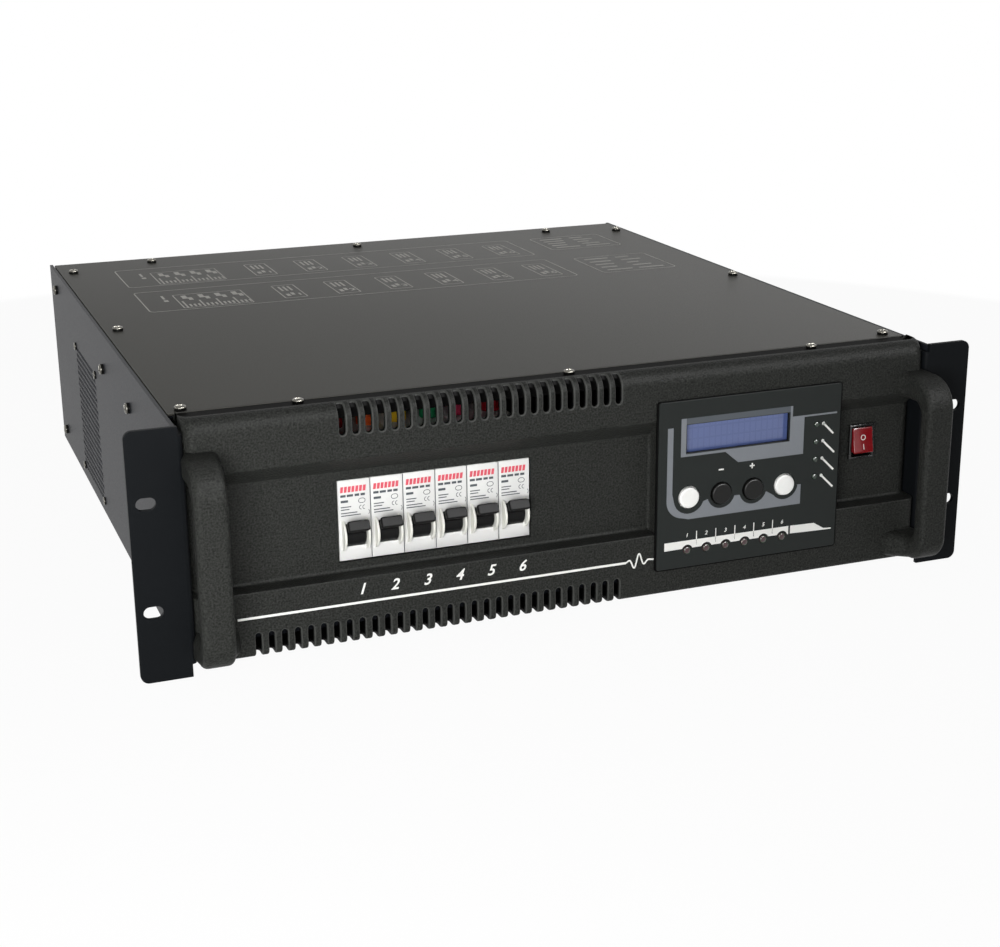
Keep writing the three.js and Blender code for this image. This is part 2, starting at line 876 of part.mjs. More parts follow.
function fascia() {
  const cavity = fasciaEnvelope(fasciaWall, fasciaDepth + 2 * fasciaWall + overrun);
  const shell = fasciaEnvelope(0, fasciaDepth).subtract(cavity);
  const flangeHalf = sideInner - sideFlangeWidth - fit;
  const flange = block(
    -flangeHalf, flangeHalf, browRadius + overrun, fasciaDepth + fasciaFlangeReach,
    fasciaSeat - fasciaWall, fasciaSeat,
  );
  const through = [recessDepth - overrun, recessDepth + fasciaWall + overrun];
  const noseTop = breakerMiddle + noseHeight / 2 + windowGap;
  const noseLow = breakerMiddle - noseHeight / 2 - windowGap;
  const breakerWindow = prismY(
    rectangle(bankLeft - windowGap, bankRight + windowGap, noseLow, noseTop), ...through,
  );
  const switchHole = prismY(
    inset(centredRectangle(rockerCentre, rockerHeight, rockerBodyWidth, rockerBodyHeight), -fit),
    ...through,
  );
  const controlWindow = prismY(
    inset(rectangle(plateLeft, plateRight, plateBottom, plateTop), windowMargin),
    -overrun, fasciaWall + overrun,
  );
  return cut(shell.add(flange), [
    breakerWindow, switchHole, controlWindow, ...upperSlotCutters(), ...lowerSlotCutters(),
  ]);
}

// Handles: a grip bar carried by two arms that spread where they meet the fascia

function handle(side) {
  const front = -handleReach;
  const shoulderCentre = front + handleShoulder;
  const heelCentre = front + handleHeel;
  const outline = [
    [handleRoot, handleTop],
    ...arc(shoulderCentre, handleTop - handleShoulder, handleShoulder, 90, 180, 2 * cornerSteps),
    ...arc(heelCentre, handleBottom + handleHeelRise + handleHeel, handleHeel, 180, 270, 2 * cornerSteps),
    [0, handleBottom],
    [handleRoot, handleBottom],
  ];
  const gripBack = front + handleBarDepth;
  const gripTop = handleTop - handleArmTop;
  const gripLow = handleBottom + handleArmBottom;
  const grip = [
    [recessDepth, gripLow],
    [recessDepth, gripTop],
    ...arc(gripBack + handleGripRadius, gripTop - handleGripRadius, handleGripRadius, 90, 180),
    ...arc(gripBack + handleGripRadius, gripLow + handleGripRadius, handleGripRadius, 180, 270),
  ];
  const seatOuter = fasciaHalf - fit;
  const spread = [
    [seatOuter, handleRoot],
    [seatOuter, -fit],
    [handleOuter, -fit],
    ...arc(handleOuter - handleEdge, front + handleEdge, handleEdge, 0, -90),
    ...arc(handleInner + handleEdge, front + handleEdge, handleEdge, -90, -180),
    ...arc(handleInner - handleFlare, gripBack, handleFlare, 0, handleFlareTurn),
    [handleInner - handleFlare, handleRoot],
  ].reverse();
  const plan = side > 0 ? spread : mirrored(spread);
  const bar = prismX(outline, -rackWidth / 2, rackWidth / 2);
  const body = bar.intersect(prismZ(plan, 0, rackHeight));
  const opening = prismX(grip, -rackWidth / 2, rackWidth / 2);
  return body.subtract(opening).subtract(fasciaEnvelope(-fit, fasciaDepth));
}

// Control panel: a flat plate with a display window, button holes and lamp holes

const buttonPlaces = repeated(buttonCount, (index) => plateLeft + buttonMargin + index * buttonPitch);
const channelLamps = repeated(channelLampCount, (index) => [
  plateLeft + channelLampMargin + index * channelLampPitch, plateBottom + channelLampRise, channelLampRadius,
]);
const statusLamps = repeated(statusLampCount, (index) => [
  plateRight - statusLampMargin,
  plateBottom + plateHeight * (statusLampRiseShare + index * statusLampPitchShare),
  statusLampRadius,
]);
const lamps = [...channelLamps, ...statusLamps];

const displayView = centredRectangle(displayCentre, displayHeight, displayViewWidth, displayViewHeight);

function controlPlate() {
  const outline = roundedRectangle(plateLeft, plateRight, plateBottom, plateTop, plateCorner);
  const holes = [
    displayView,
    ...buttonPlaces.map((x) => circle(x, buttonRow, buttonHole)),
    ...lamps.map(([x, z, radius]) => circle(x, z, radius + fit, smallSteps)),
  ];
  return prismY(outline, plateFront, plateBack, holes);
}

// Display: a pressed frame that lies behind the plate, with the glass set into it
function displayFrame() {
  const front = plateBack + fit;
  const back = front + displayFrameDepth;
  const outline = centredRectangle(displayCentre, displayHeight, displayFrameWidth, displayFrameHeight);
  const view = inset(displayView, -fit);
  const seat = front + displaySetback;
  const opening = prismY(view, front - overrun, seat + overrun);
  const pocket = prismY(inset(view, -displayGlassSheet), seat, back - displayGlassSheet);
  return cut(prismY(outline, front, back), [opening, pocket]);
}

function displayGlass() {
  const front = plateBack + fit + displaySetback + fit;
  return prismY(inset(displayView, -displayGlassSheet), front, front + displayGlassSheet);
}

// Circuit board with the button switches, the lamps and four posts that reach the fascia's block
function controlBoard() {
  const front = boardSetback;
  const left = plateLeft + windowMargin - boardPostRadius;
  const right = plateRight - windowMargin + boardPostRadius;
  const low = plateBottom + windowMargin - boardPostRadius;
  const high = plateTop - windowMargin + boardPostRadius;
  const board = prismY(
    inset(rectangle(left, right, low, high), -boardMargin), front, front + boardSheet,
  );
  const buttonBack = plateBack + fit + buttonFlangeSheet + buttonStem;
  const plungerFront = buttonBack + buttonTravel + fit;
  const switches = buttonPlaces.flatMap((x) => [
    prismY(
      centredRectangle(x, buttonRow, switchBody, switchBody), front - switchHeight, front + boardSheet / 2,
    ),
    prismY(circle(x, buttonRow, switchPlunger, smallSteps), plungerFront, front),
  ]);
  const domes = lamps.map(([x, z, radius]) => prismY(
    circle(x, z, radius, smallSteps), plateFront - lampProud, front + boardSheet / 2,
  ));
  const posts = [left, right].flatMap((x) => [low, high].map((z) => prismY(
    circle(x, z, boardPostRadius, smallSteps), fasciaWall + fit, front + boardSheet / 2,
  )));
  return joined([board, ...switches, ...domes, ...posts]);
}

// A button: a rounded cap, a flange that keeps it behind the plate, and a stem on the switch
function button(x) {
  const capFront = plateFront - buttonProud;
  const flangeFront = plateBack + fit;
  const flangeBack = flangeFront + buttonFlangeSheet;
  const profile = [
    [0, capFront],
    [buttonRadius - buttonEdge, capFront],
    [buttonRadius, capFront + buttonEdge],
    [buttonRadius, flangeFront],
    [buttonHole + buttonFlange, flangeFront],
    [buttonHole + buttonFlange, flangeBack],
    [buttonStem, flangeBack],
    [buttonStem, flangeBack + buttonStem],
    [0, flangeBack + buttonStem],
  ];
  return turnedY(profile).translate([x, 0, buttonRow]);
}

// Mains switch: a bezel with a hollow body, and the rocker that tips in it

const rockerFaceDepth = recessDepth - rockerBezelSheet - rockerProud;
const rockerPivotDepth = rockerFaceDepth + rockerRadius * Math.cos(degrees(rockerTurn));

function rockerHousing() {
  const bezelFront = recessDepth - fit - rockerBezelSheet;
  const bezelBack = recessDepth - fit;
  const bodyBack = bezelBack + rockerBodyDepth;
  const centred = (width, height) => centredRectangle(rockerCentre, rockerHeight, width, height);
  const bezel = prismY(centred(rockerBezelWidth, rockerBezelHeight), bezelFront, bezelBack);
  const body = prismY(centred(rockerBodyWidth, rockerBodyHeight), bezelFront + overrun, bodyBack);
  const well = prismY(
    centred(rockerWidth + 2 * fit, rockerWellHeight), bezelFront - overrun, bodyBack - rockerWall,
  );
  const blades = [-1, 0, 1].map((level) => prismY(
    centredRectangle(
      rockerCentre, rockerHeight + (level * (rockerSpan - rockerBlade)) / 2, rockerBlade, rockerBladeSheet,
    ),
    bodyBack - rockerWall / 2, bodyBack + rockerBladeReach,
  ));
  return joined([bezel.add(body).subtract(well), ...blades]);
}

// The rocker's face is a shallow V; it rests with its upper half pressed in
function rocker() {
  const half = rockerSpan / 2;
  const faceDepth = rockerRadius;
  const dip = half * Math.tan(degrees(rockerTurn));
  const outline = [
    [-faceDepth, 0],
    [-faceDepth - dip / 2, -half],
    [-faceDepth / 2, -half + rockerWall],
    [rockerWall, -rockerWall],
    [rockerWall, rockerWall],
    [-faceDepth / 2, half - rockerWall],
    [-faceDepth - dip / 2, half],
  ].reverse();
  const body = prismX(outline, -rockerWidth / 2, rockerWidth / 2);
  return body
    .rotate([-rockerTurn, 0, 0])
    .translate([rockerCentre, rockerPivotDepth, rockerHeight]);
}

// Circuit breakers on a mounting rail, with their noses in the fascia's window

const breakerPlaces = repeated(breakerCount, (index) => bankLeft + breakerPitch / 2 + index * breakerPitch);
const toggleAxisDepth = noseFace + cheekSetback;
const toggleAxisHeight = breakerMiddle - toggleDrop;

function breaker(x) {
  const half = (breakerPitch - fit) / 2;
  const shoulder = noseFace + noseDepth;
  const noseTop = noseHeight / 2;
  const top = breakerHeight / 2;
  const notch = topHatHeight / 2 + fit;
  const upper = [
    [noseFace, noseTop],
    [shoulder - noseChamfer, noseTop],
    [shoulder, noseTop + noseChamfer],
    [shoulder, top - breakerEdge],
    [shoulder + breakerEdge, top],
    [breakerBack - breakerEdge, top],
    [breakerBack, top - breakerEdge],
    [breakerBack, notch],
    [topHatFront - fit, notch],
  ];
  const lower = upper.map(([depth, level]) => [depth, -level]).reverse();
  const outline = [...upper, ...lower].map(([depth, level]) => [depth, breakerMiddle + level]);
  const body = prismX(outline.reverse(), x - half, x + half);
  const cheekOuter = toggleWidth / 2 + toggleGap + cheekThickness;
  const disc = (radius, reach) => prismX(
    circle(toggleAxisDepth, toggleAxisHeight, radius), x - reach, x + reach,
  );
  const well = toggleWidth / 2 + toggleGap;
  const bore = disc(toggleDrum + toggleGap, well);
  const front = block(
    x - well, x + well, toggleAxisDepth - cheekRadius - overrun, noseFace,
    toggleAxisHeight - cheekRadius - overrun, toggleAxisHeight + cheekRadius + overrun,
  );
  const terminals = [-1, 1].map((level) => block(
    x - terminalWidth / 2, x + terminalWidth / 2,
    shoulder + terminalDepth, shoulder + 2 * terminalDepth,
    breakerMiddle + level * (top - terminalWidth / 2) - terminalWidth / 2 - (level < 0 ? overrun : 0),
    breakerMiddle + level * (top - terminalWidth / 2) + terminalWidth / 2 + (level > 0 ? overrun : 0),
  ));
  return cut(body.add(disc(cheekRadius, cheekOuter)), [bore, front, ...terminals]);
}

function toggle(x) {
  const half = toggleWidth / 2;
  const drum = prismX(circle(0, 0, toggleDrum), -half, half);
  const leverOutline = [
    [0, -toggleThickness / 2],
    [0, toggleThickness / 2],
    [-toggleReach + toggleTipThickness / 2, toggleTipThickness / 2],
    [-toggleReach, 0],
    [-toggleReach + toggleTipThickness / 2, -toggleTipThickness / 2],
  ].reverse();
  const lever = prismX(leverOutline, -half, half).rotate([-toggleRestTurn, 0, 0]);
  return drum.add(lever).translate([x, toggleAxisDepth, toggleAxisHeight]);
}

// Top-hat rail with a bracket at each end that stands on the tray
function breakerRail() {
  const front = topHatFront;
  const back = front + topHatDepth;
  const half = topHatHeight / 2;
  const inner = topHatInner / 2;
  const hat = [
    [front, half], [front, inner - topHatSheet], [back - topHatSheet, inner - topHatSheet],
    [back - topHatSheet, -inner + topHatSheet], [front, -inner + topHatSheet], [front, -half],
    [front + topHatSheet, -half], [front + topHatSheet, -inner], [back, -inner],
    [back, inner], [front + topHatSheet, inner], [front + topHatSheet, half],
  ].map(([depth, level]) => [depth, breakerMiddle + level]);
  const left = bankLeft - bracketWidth;
  const right = bankRight + bracketWidth;
  const rail = prismX(hat, left, right);
  const low = trayTop + fit;
  const brackets = [left, right - bracketWidth].map((start) => {
    const upright = block(
      start, start + bracketWidth, back - topHatSheet / 2, back + bracketSheet,
      low, breakerMiddle + half,
    );
    const sole = block(start, start + bracketWidth, back, back + bracketFoot, low, low + bracketSheet);
    return upright.add(sole);
  });
  return joined([rail, ...brackets]);
}

// Fan behind the grille in the left side

function fanFrame() {
  const half = fanSize / 2;
  const y = fanCentreDepth;
  const z = fanCentreHeight;
  const outline = roundedRectangle(y - half, y + half, z - half, z + half, earCorner);
  const ring = prismX(outline, fanOuterFace, fanInnerFace, [circle(y, z, fanBore / 2, fineSteps)]);
  const waist = half - fanWall;
  const corners = [[-1, -1], [-1, 1], [1, -1], [1, 1]].map(([a, b]) => {
    const edgeY = y + a * half;
    const edgeZ = z + b * half;
    const size = half - waist / Math.SQRT2 - fanWall;
    return prismX(
      rectangle(
        Math.min(edgeY, edgeY - a * size) - overrun, Math.max(edgeY, edgeY - a * size) + overrun,
        Math.min(edgeZ, edgeZ - b * size) - overrun, Math.max(edgeZ, edgeZ - b * size) + overrun,
      ),
      fanOuterFace + fanStrutDepth, fanInnerFace - fanStrutDepth,
    );
  });
  const shell = prismX(circle(y, z, waist + fanWall / 2, fineSteps), fanOuterFace, fanInnerFace, [
    circle(y, z, fanBore / 2, fineSteps),
  ]);
  const hub = prismX(circle(y, z, fanHub / 2), fanInnerFace - fanStrutDepth, fanInnerFace);
  const bearing = prismX(
    circle(y, z, fanShaft / 2 + fit), fanInnerFace - fanStrutDepth - overrun, fanInnerFace + overrun,
  );
  const struts = repeated(3, (index) => {
    const strut = block(
      fanInnerFace - fanStrutDepth, fanInnerFace, -fanStrutWidth / 2, fanStrutWidth / 2,
      0, fanBore / 2 + fanWall / 2,
    );
    return strut.rotate([(index * 360) / 3, 0, 0]).translate([0, y, z]);
  });
  return joined([cut(ring, corners), shell, hub, ...struts]).subtract(bearing);
}

// Rotor: a cup on a shaft with swept blades of falling pitch
function fanRotor() {
  const y = fanCentreDepth;
  const z = fanCentreHeight;
  const cupBack = fanInnerFace - fanStrutDepth - fit;
  const cupFront = fanOuterFace + fanStrutDepth;
  const cup = prismX(circle(0, 0, fanHub / 2), cupFront, cupBack);
  const blades = repeated(fanBladeCount, (index) => {
    return fanBlade(cupFront, cupBack).rotate([(index * 360) / fanBladeCount, 0, 0]);
  });
  const shaft = prismX(circle(0, 0, fanShaft / 2), cupFront, fanInnerFace);
  return joined([cup, shaft, ...blades]).translate([0, y, z]);
}

function fanBlade(front, back) {
  const rootRadius = fanHub / 2 - fanWall;
  const tipRadius = fanBore / 2 - fanTipGap;
  const middle = (front + back) / 2;
  const halfDepth = (back - front) / 2 - fanWall / 2;
  const rings = repeated(bladeSections + 1, (section) => {
    const share = section / bladeSections;
    const radius = rootRadius + (tipRadius - rootRadius) * share;
    const pitch = degrees(bladeRootTurn + (bladeTipTurn - bladeRootTurn) * share);
    const edge = fanBladeThickness / 2 / Math.sin(pitch);
    return [[-1, 1], [1, 1], [1, -1], [-1, -1]].map(([along, face]) => {
      const around = (along * halfDepth / Math.tan(pitch) + face * edge) / radius;
      const turn = degrees(bladeSweep * share) + around;
      return [middle + along * halfDepth, radius * Math.sin(turn), radius * Math.cos(turn)];
    });
  });
  return skinned(rings);
}

// Heat sink in the fan's air path, with a power switch for each channel bolted to its front
function heatSink() {
  const back = sinkFront + sinkDepth;
  const seat = trayTop + fit;
  const low = seat + sinkLegHeight;
  const finPitch = (sinkDepth - sinkFinSheet) / (sinkFinCount - 1);
  const bar = (front, rear, bottom, top) => prismX(
    rectangle(front, rear, bottom, top), sinkLeft, sinkLeft + sinkLength,
  );
  const fins = repeated(sinkFinCount, (index) => {
    const y = sinkFront + index * finPitch;
    return bar(y, y + sinkFinSheet, low + sinkBase / 2, low + sinkHeight);
  });
  const legs = [sinkFront, back - sinkBase].map((y) => bar(y, y + sinkBase, seat, low + sinkBase / 2));
  const triacs = repeated(channelLampCount, (index) => {
    const x = sinkLeft + triacPitch / 2 + index * triacPitch;
    const level = low + sinkBase;
    return block(
      x - triacWidth / 2, x + triacWidth / 2, sinkFront - triacDepth, sinkFront + sinkFinSheet / 2,
      level, level + triacHeight,
    );
  });
  return joined([bar(sinkFront, back, low, low + sinkBase), ...fins, ...legs, ...triacs]);
}

// Ring cores with their windings, standing on the tray in a row
function choke(index) {
  const half = chokeHeight / 2;
  const round = (chokeOuter - chokeInner) / 4;
  const profile = [
    [chokeInner, -half],
    [chokeOuter - round, -half],
    [chokeOuter, round - half],
    [chokeOuter, half - round],
    [chokeOuter - round, half],
    [chokeInner, half],
    [chokeInner, -half],
  ];
  return turnedZ(profile).translate([
    -sideInner + chokeMargin + chokeOuter + index * chokePitch, chokeRow, trayTop + fit + half,
  ]);
}

// Board that drives the power switches, on four posts, with a socket for each channel's wire
const socketPlaces = breakerPlaces;
const socketRow = powerBoardFront + powerBoardInset + connectorDepth / 2;

function powerBoard() {
  const back = powerBoardFront + powerBoardDepth;
  const outline = rectangle(powerBoardLeft, powerBoardRight, powerBoardFront, back);
  const board = prismZ(outline, powerBoardLevel, powerBoardLevel + boardSheet);
  const posts = [powerBoardLeft + powerBoardInset, powerBoardRight - powerBoardInset].flatMap((x) => (
    [powerBoardFront + powerBoardInset, back - powerBoardInset].map((y) => (
      prismZ(circle(x, y, powerBoardPost, smallSteps), trayTop + fit, powerBoardLevel + boardSheet / 2)
    ))
  ));
  const sockets = socketPlaces.map((x) => block(
    x - connectorWidth / 2, x + connectorWidth / 2,
    socketRow - connectorDepth / 2, socketRow + connectorDepth / 2,
    powerBoardLevel + boardSheet / 2, powerBoardLevel + boardSheet + connectorHeight,
  ));
  return joined([board, ...posts, ...sockets]);
}

// Transformer for the control electronics: a stack of laminations round a coil, on a foot
function transformer() {
  const half = coreWidth / 2;
  const low = trayTop + fit;
  const foot = block(
    coreCentre - half - coreFootOverhang, coreCentre + half + coreFootOverhang,
    coreFront, coreFront + coreDepth, low, low + coreFootSheet,
  );
  const stack = block(
    coreCentre - half, coreCentre + half, coreFront, coreFront + coreDepth, low, low + coreHeight,
  );
  const rise = (coreHeight - coilWidth) / 2;
  const coil = block(
    coreCentre - coilWidth / 2, coreCentre + coilWidth / 2, coreFront - coilOverhang,
    coreFront + coreDepth + coilOverhang, low + rise, low + coreHeight - rise,
  );
  return joined([foot, stack, coil]);
}

// A wire from the top terminal of a breaker, over the breaker and down into its socket
function supplyWire(x) {
  const start = noseFace + noseDepth + terminalDepth + terminalDepth / 2;
  const low = breakerTop + fit;
  const level = (breakerTop + flangeUnderside - railLegHeight) / 2;
  const rise = level - low - wireLead;
  const end = powerBoardLevel + boardSheet + connectorHeight + fit;
  const route = [
    [start, low],
    ...arc(start + rise, level - rise, rise, 180, 90),
    ...arc(socketRow - wireBend, level - wireBend, wireBend, 90, 0),
    [socketRow, end],
  ];
  const rings = route.map(([y, z], index) => {
    const [beforeY, beforeZ] = route[Math.max(index - 1, 0)];
    const [afterY, afterZ] = route[Math.min(index + 1, route.length - 1)];
    const heading = Math.atan2(afterZ - beforeZ, afterY - beforeY);
    return circle(0, 0, wireRadius, wireSides).map(([across, away]) => [
      x + across, y - away * Math.sin(heading), z + away * Math.cos(heading),
    ]);
  });
  return skinned(rings);
}

// Barrier strips on the rear, each pole between two walls
function barrierStrip(left, poles, pitch) {
  const front = rearFace + fit;
  const right = left + poles * pitch;
  const middle = stripBottom + stripHeight / 2;
  const bar = (from, to, depth) => block(from, to, front, depth, stripBottom, stripBottom + stripHeight);
  const base = bar(left, right, front + stripDepth - stripBarrierRise);
  const walls = repeated(poles + 1, (index) => {
    const from = Math.max(left, left + index * pitch - stripBarrier / 2);
    const to = Math.min(right, left + index * pitch + stripBarrier / 2);
    return bar(from, to, front + stripDepth);
  });
  const plug = block(
    left + stripPlug / 2, right - stripPlug / 2, rearInside - stripPlug, front + stripBarrier,
    middle - stripPlug / 2, middle + stripPlug / 2,
  );
  return joined([base, ...walls, plug]);
}

// Three-pole signal connector: a flange on the rear panel and a barrel through it
function signalConnector(x, pins) {
  const front = rearFace + fit;
  const face = front + connectorFlangeSheet;
  const floor = face - connectorBoreDepth;
  const flange = prismY(
    roundedRectangle(
      x - connectorFlangeWidth / 2, x + connectorFlangeWidth / 2,
      connectorRow - connectorFlangeHeight / 2, connectorRow + connectorFlangeHeight / 2, connectorCorner,
    ),
    front, face,
  );
  const disc = (radius, from, to) => prismY(circle(x, connectorRow, radius), from, to);
  const body = flange.add(disc(connectorBarrel, rearFace - connectorBodyDepth, face - overrun));
  const poles = [90, 210, 330].map((turn) => [
    x + connectorPinCircle * Math.cos(degrees(turn)),
    connectorRow + connectorPinCircle * Math.sin(degrees(turn)),
  ]);
  if (!pins) {
    const holes = poles.map(([a, b]) => prismY(
      circle(a, b, connectorPinRadius + fit, smallSteps), floor, face + overrun,
    ));
    return cut(body, holes);
  }
  const rods = poles.map(([a, b]) => prismY(
    circle(a, b, connectorPinRadius, smallSteps), floor - overrun, face - connectorFlangeSheet,
  ));
  return joined([body.subtract(disc(connectorBore, floor, face + overrun)), ...rods]);
}

// Cable gland for the mains lead: a hexagon on the panel, a domed nut and an open bore
function cableGland() {
  const front = rearFace + fit;
  const thread = glandNut - 2 * fit;
  const collar = front + glandReach / 2;
  const profile = [
    [glandBore, rearInside - stripPlug],
    [thread, rearInside - stripPlug],
    [thread, collar],
    [glandNut, collar],
    [glandNut, front + glandReach - glandDome],
    [glandNut - glandDome, front + glandReach],
    [glandBore, front + glandReach],
    [glandBore, rearInside - stripPlug],
  ];
  const hexagon = prismY(circle(0, 0, glandRadius, glandSides), front, collar - fit, [
    circle(0, 0, glandBore + glandDome / 2),
  ]);
  return turnedY(profile).add(hexagon).translate([glandCentre, 0, glandRow]);
}

// Rubber feet under the tray
function foot(x, y) {
  const top = bodyBottom - fit;
  const bottom = bodyBottom - footHeight;
  const profile = [
    [0, bottom],
    [footRadius - footTaper, bottom],
    [footRadius, top - footTaper],
    [footRadius, top],
    [0, top],
  ];
  return turnedZ(profile, smallSteps).translate([x, y, 0]);
}

// Assembly

piece('base_tray', baseTray(), 'side');
piece('left_side_panel', cut(sideWall(-1), grilleCutters()), 'side');
piece('right_side_panel', cut(sideWall(1), intakeCutters()), 'side');
piece('rear_panel', rearPanel(), 'side');
piece('top_cover', topCover(), 'cover');
piece('front_rail', frontRail(), 'ear');
piece('left_rack_ear', rackEar(-1), 'ear');
piece('right_rack_ear', rackEar(1), 'ear');
piece('front_fascia', fascia(), 'fascia');
piece('left_handle', handle(-1), 'fascia');
piece('right_handle', handle(1), 'fascia');

piece('control_plate', controlPlate(), 'plate');
piece('display_frame', displayFrame(), 'steel');
piece('display_glass', displayGlass(), 'display');
piece('control_board', controlBoard(), 'board');
const buttonNames = ['escape_button', 'down_button', 'up_button', 'enter_button'];
buttonPlaces.forEach((x, index) => {
  const outer = index === 0 || index === buttonCount - 1;
  piece(buttonNames[index], button(x), outer ? 'white' : 'black');
});

piece('rocker_housing', rockerHousing(), 'black');
piece('rocker', rocker(), 'red');

breakerPlaces.forEach((x, index) => {
  piece(`breaker_${index + 1}`, breaker(x), 'white');
  piece(`breaker_toggle_${index + 1}`, toggle(x), 'black');
});
piece('breaker_rail', breakerRail(), 'zinc');

piece('fan_frame', fanFrame(), 'black');
piece('fan_rotor', fanRotor(), 'black');
piece('heat_sink', heatSink(), 'alloy');
repeated(chokeCount, (index) => piece(`choke_${index + 1}`, choke(index), 'ferrite'));
piece('power_board', powerBoard(), 'board');
piece('transformer', transformer(), 'steel');

const wireFinishes = ['wireRed', 'wireOrange', 'wireYellow', 'wireGreen', 'wirePink', 'wireRed'];
breakerPlaces.forEach((x, index) => {
  piece(`supply_wire_${index + 1}`, supplyWire(x), wireFinishes[index]);
});

piece('mains_terminals', barrierStrip(mainsLeft, mainsPoles, mainsPolePitch), 'strip');
piece('output_terminals', barrierStrip(outputLeft, outputPoles, outputPolePitch), 'strip');
piece('signal_input', signalConnector(inputCentre, true), 'steel');
piece('signal_output', signalConnector(outputCentre, false), 'black');
piece('cable_gland', cableGland(), 'black');

const footPlaces = {
  front_left_foot: [-1, footFrontInset],
  front_right_foot: [1, footFrontInset],
  rear_left_foot: [-1, bodyDepth - footRearInset],
  rear_right_foot: [1, bodyDepth - footRearInset],
};
for (const [name, [side, y]] of Object.entries(footPlaces)) {
  piece(name, foot(side * (halfBody - footSideInset), y), 'rubber');
}

const rearmost = rearFace + fit + glandReach;
pack.position.set(0, (handleReach - rearmost) / 2, footHeight - bodyBottom);

export default pack;
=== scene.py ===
"""Looks of a six-channel stage dimmer pack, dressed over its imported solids.

Lengths inside the classes are millimetres in the pack's own frame: y = 0 is the front of the rack
ears, z = 0 is their lower edge and x = 0 is the middle. A finished mesh is in metres, in place.
"""

import logging
import math
from dataclasses import dataclass
from enum import Enum

import bmesh
import bpy
import numpy as np
from mathutils import Matrix, Vector

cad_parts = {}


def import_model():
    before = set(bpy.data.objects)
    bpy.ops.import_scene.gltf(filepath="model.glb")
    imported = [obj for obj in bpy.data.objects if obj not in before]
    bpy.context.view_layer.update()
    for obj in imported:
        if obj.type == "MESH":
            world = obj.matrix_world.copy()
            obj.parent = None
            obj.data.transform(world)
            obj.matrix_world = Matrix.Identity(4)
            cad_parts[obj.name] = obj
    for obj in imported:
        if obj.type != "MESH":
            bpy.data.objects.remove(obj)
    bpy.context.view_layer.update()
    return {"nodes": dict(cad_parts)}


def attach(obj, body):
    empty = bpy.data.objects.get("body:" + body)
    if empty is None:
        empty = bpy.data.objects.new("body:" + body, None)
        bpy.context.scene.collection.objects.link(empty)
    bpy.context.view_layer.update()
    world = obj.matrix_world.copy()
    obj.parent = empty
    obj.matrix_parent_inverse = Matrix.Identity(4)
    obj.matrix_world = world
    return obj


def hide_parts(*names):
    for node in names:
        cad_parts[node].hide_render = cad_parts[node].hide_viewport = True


LOG = logging.getLogger("dimmer_pack")
MILLIMETRE = 0.001
FRAME_OFFSET = np.array([0.0, -216.9, 1.8])
ROOT = "pack"
CHANNELS = 6
BREAKER_FIRST, BREAKER_PITCH = -123.71, 17.8
OPAQUE_WHITE = (1.0, 1.0, 1.0, 1.0)
WELD_DISTANCE = 2e-6
PRINT_GAP = 0.03
Flat = tuple[float, float]
Place = tuple[float, float, float]
Colour = tuple[float, float, float, float]
Row = tuple[float, ...]
Box = tuple[Place, Place]


# Shader expressions


class Value:
    """A shader socket that Python's operators work on; each operation adds a Math node."""

    def __init__(self, tree: bpy.types.NodeTree, socket: bpy.types.NodeSocket) -> None:
        """Keeps the tree and the socket."""
        self.tree = tree
        self.socket = socket

    def apply(self, operation: str, *items: "Value | float") -> "Value":
        """Adds a Math node.

        Args:
            operation: the Math node's operation.
            items: its inputs in order, sockets or numbers.

        Returns:
            The node's result.
        """
        node = self.tree.nodes.new("ShaderNodeMath")
        node.operation = operation
        for slot, item in zip(node.inputs, items):
            if isinstance(item, Value):
                self.tree.links.new(item.socket, slot)
            else:
                slot.default_value = item
        return Value(self.tree, node.outputs[0])

    def __add__(self, other: "Value | float") -> "Value":
        """Sum."""
        return self.apply("ADD", self, other)

    def __sub__(self, other: "Value | float") -> "Value":
        """Difference."""
        return self.apply("SUBTRACT", self, other)

    def __rsub__(self, other: float) -> "Value":
        """Difference from a number."""
        return self.apply("SUBTRACT", other, self)

    def __mul__(self, other: "Value | float") -> "Value":
        """Product."""
        return self.apply("MULTIPLY", self, other)

    def __truediv__(self, other: "Value | float") -> "Value":
        """Quotient."""
        return self.apply("DIVIDE", self, other)

    def __rtruediv__(self, other: float) -> "Value":
        """Quotient of a number."""
        return self.apply("DIVIDE", other, self)

    def __gt__(self, other: "Value | float") -> "Value":
        """One where this is greater, else nought."""
        return self.apply("GREATER_THAN", self, other)

    def __lt__(self, other: "Value | float") -> "Value":
        """One where this is less, else nought."""
        return self.apply("LESS_THAN", self, other)

    def saw(self, period: float) -> "Value":
        """Share of the way through the period, from 0 to 1."""
        return self.apply("FRACT", self / period)

    __radd__ = __add__
    __rmul__ = __mul__


def linear(code: str) -> Colour:
    """Turns a six-digit display colour into the shader's linear colour.

    Args:
        code: hexadecimal red, green and blue.

    Returns:
        Linear red, green, blue and an alpha of 1.
    """
    shares = [int(code[at : at + 2], 16) / 255 for at in (0, 2, 4)]
    curved = [s / 12.92 if s <= 0.04045 else ((s + 0.055) / 1.055) ** 2.4 for s in shares]
    return (*curved, 1.0)


def toned(colour: Colour, factor: float, lift: float = 0.0) -> Colour:
    """A colour whose parts are scaled and lifted, up to 1."""
    return tuple(min(1.0, part * factor + lift) for part in colour[:3]) + (1.0,)


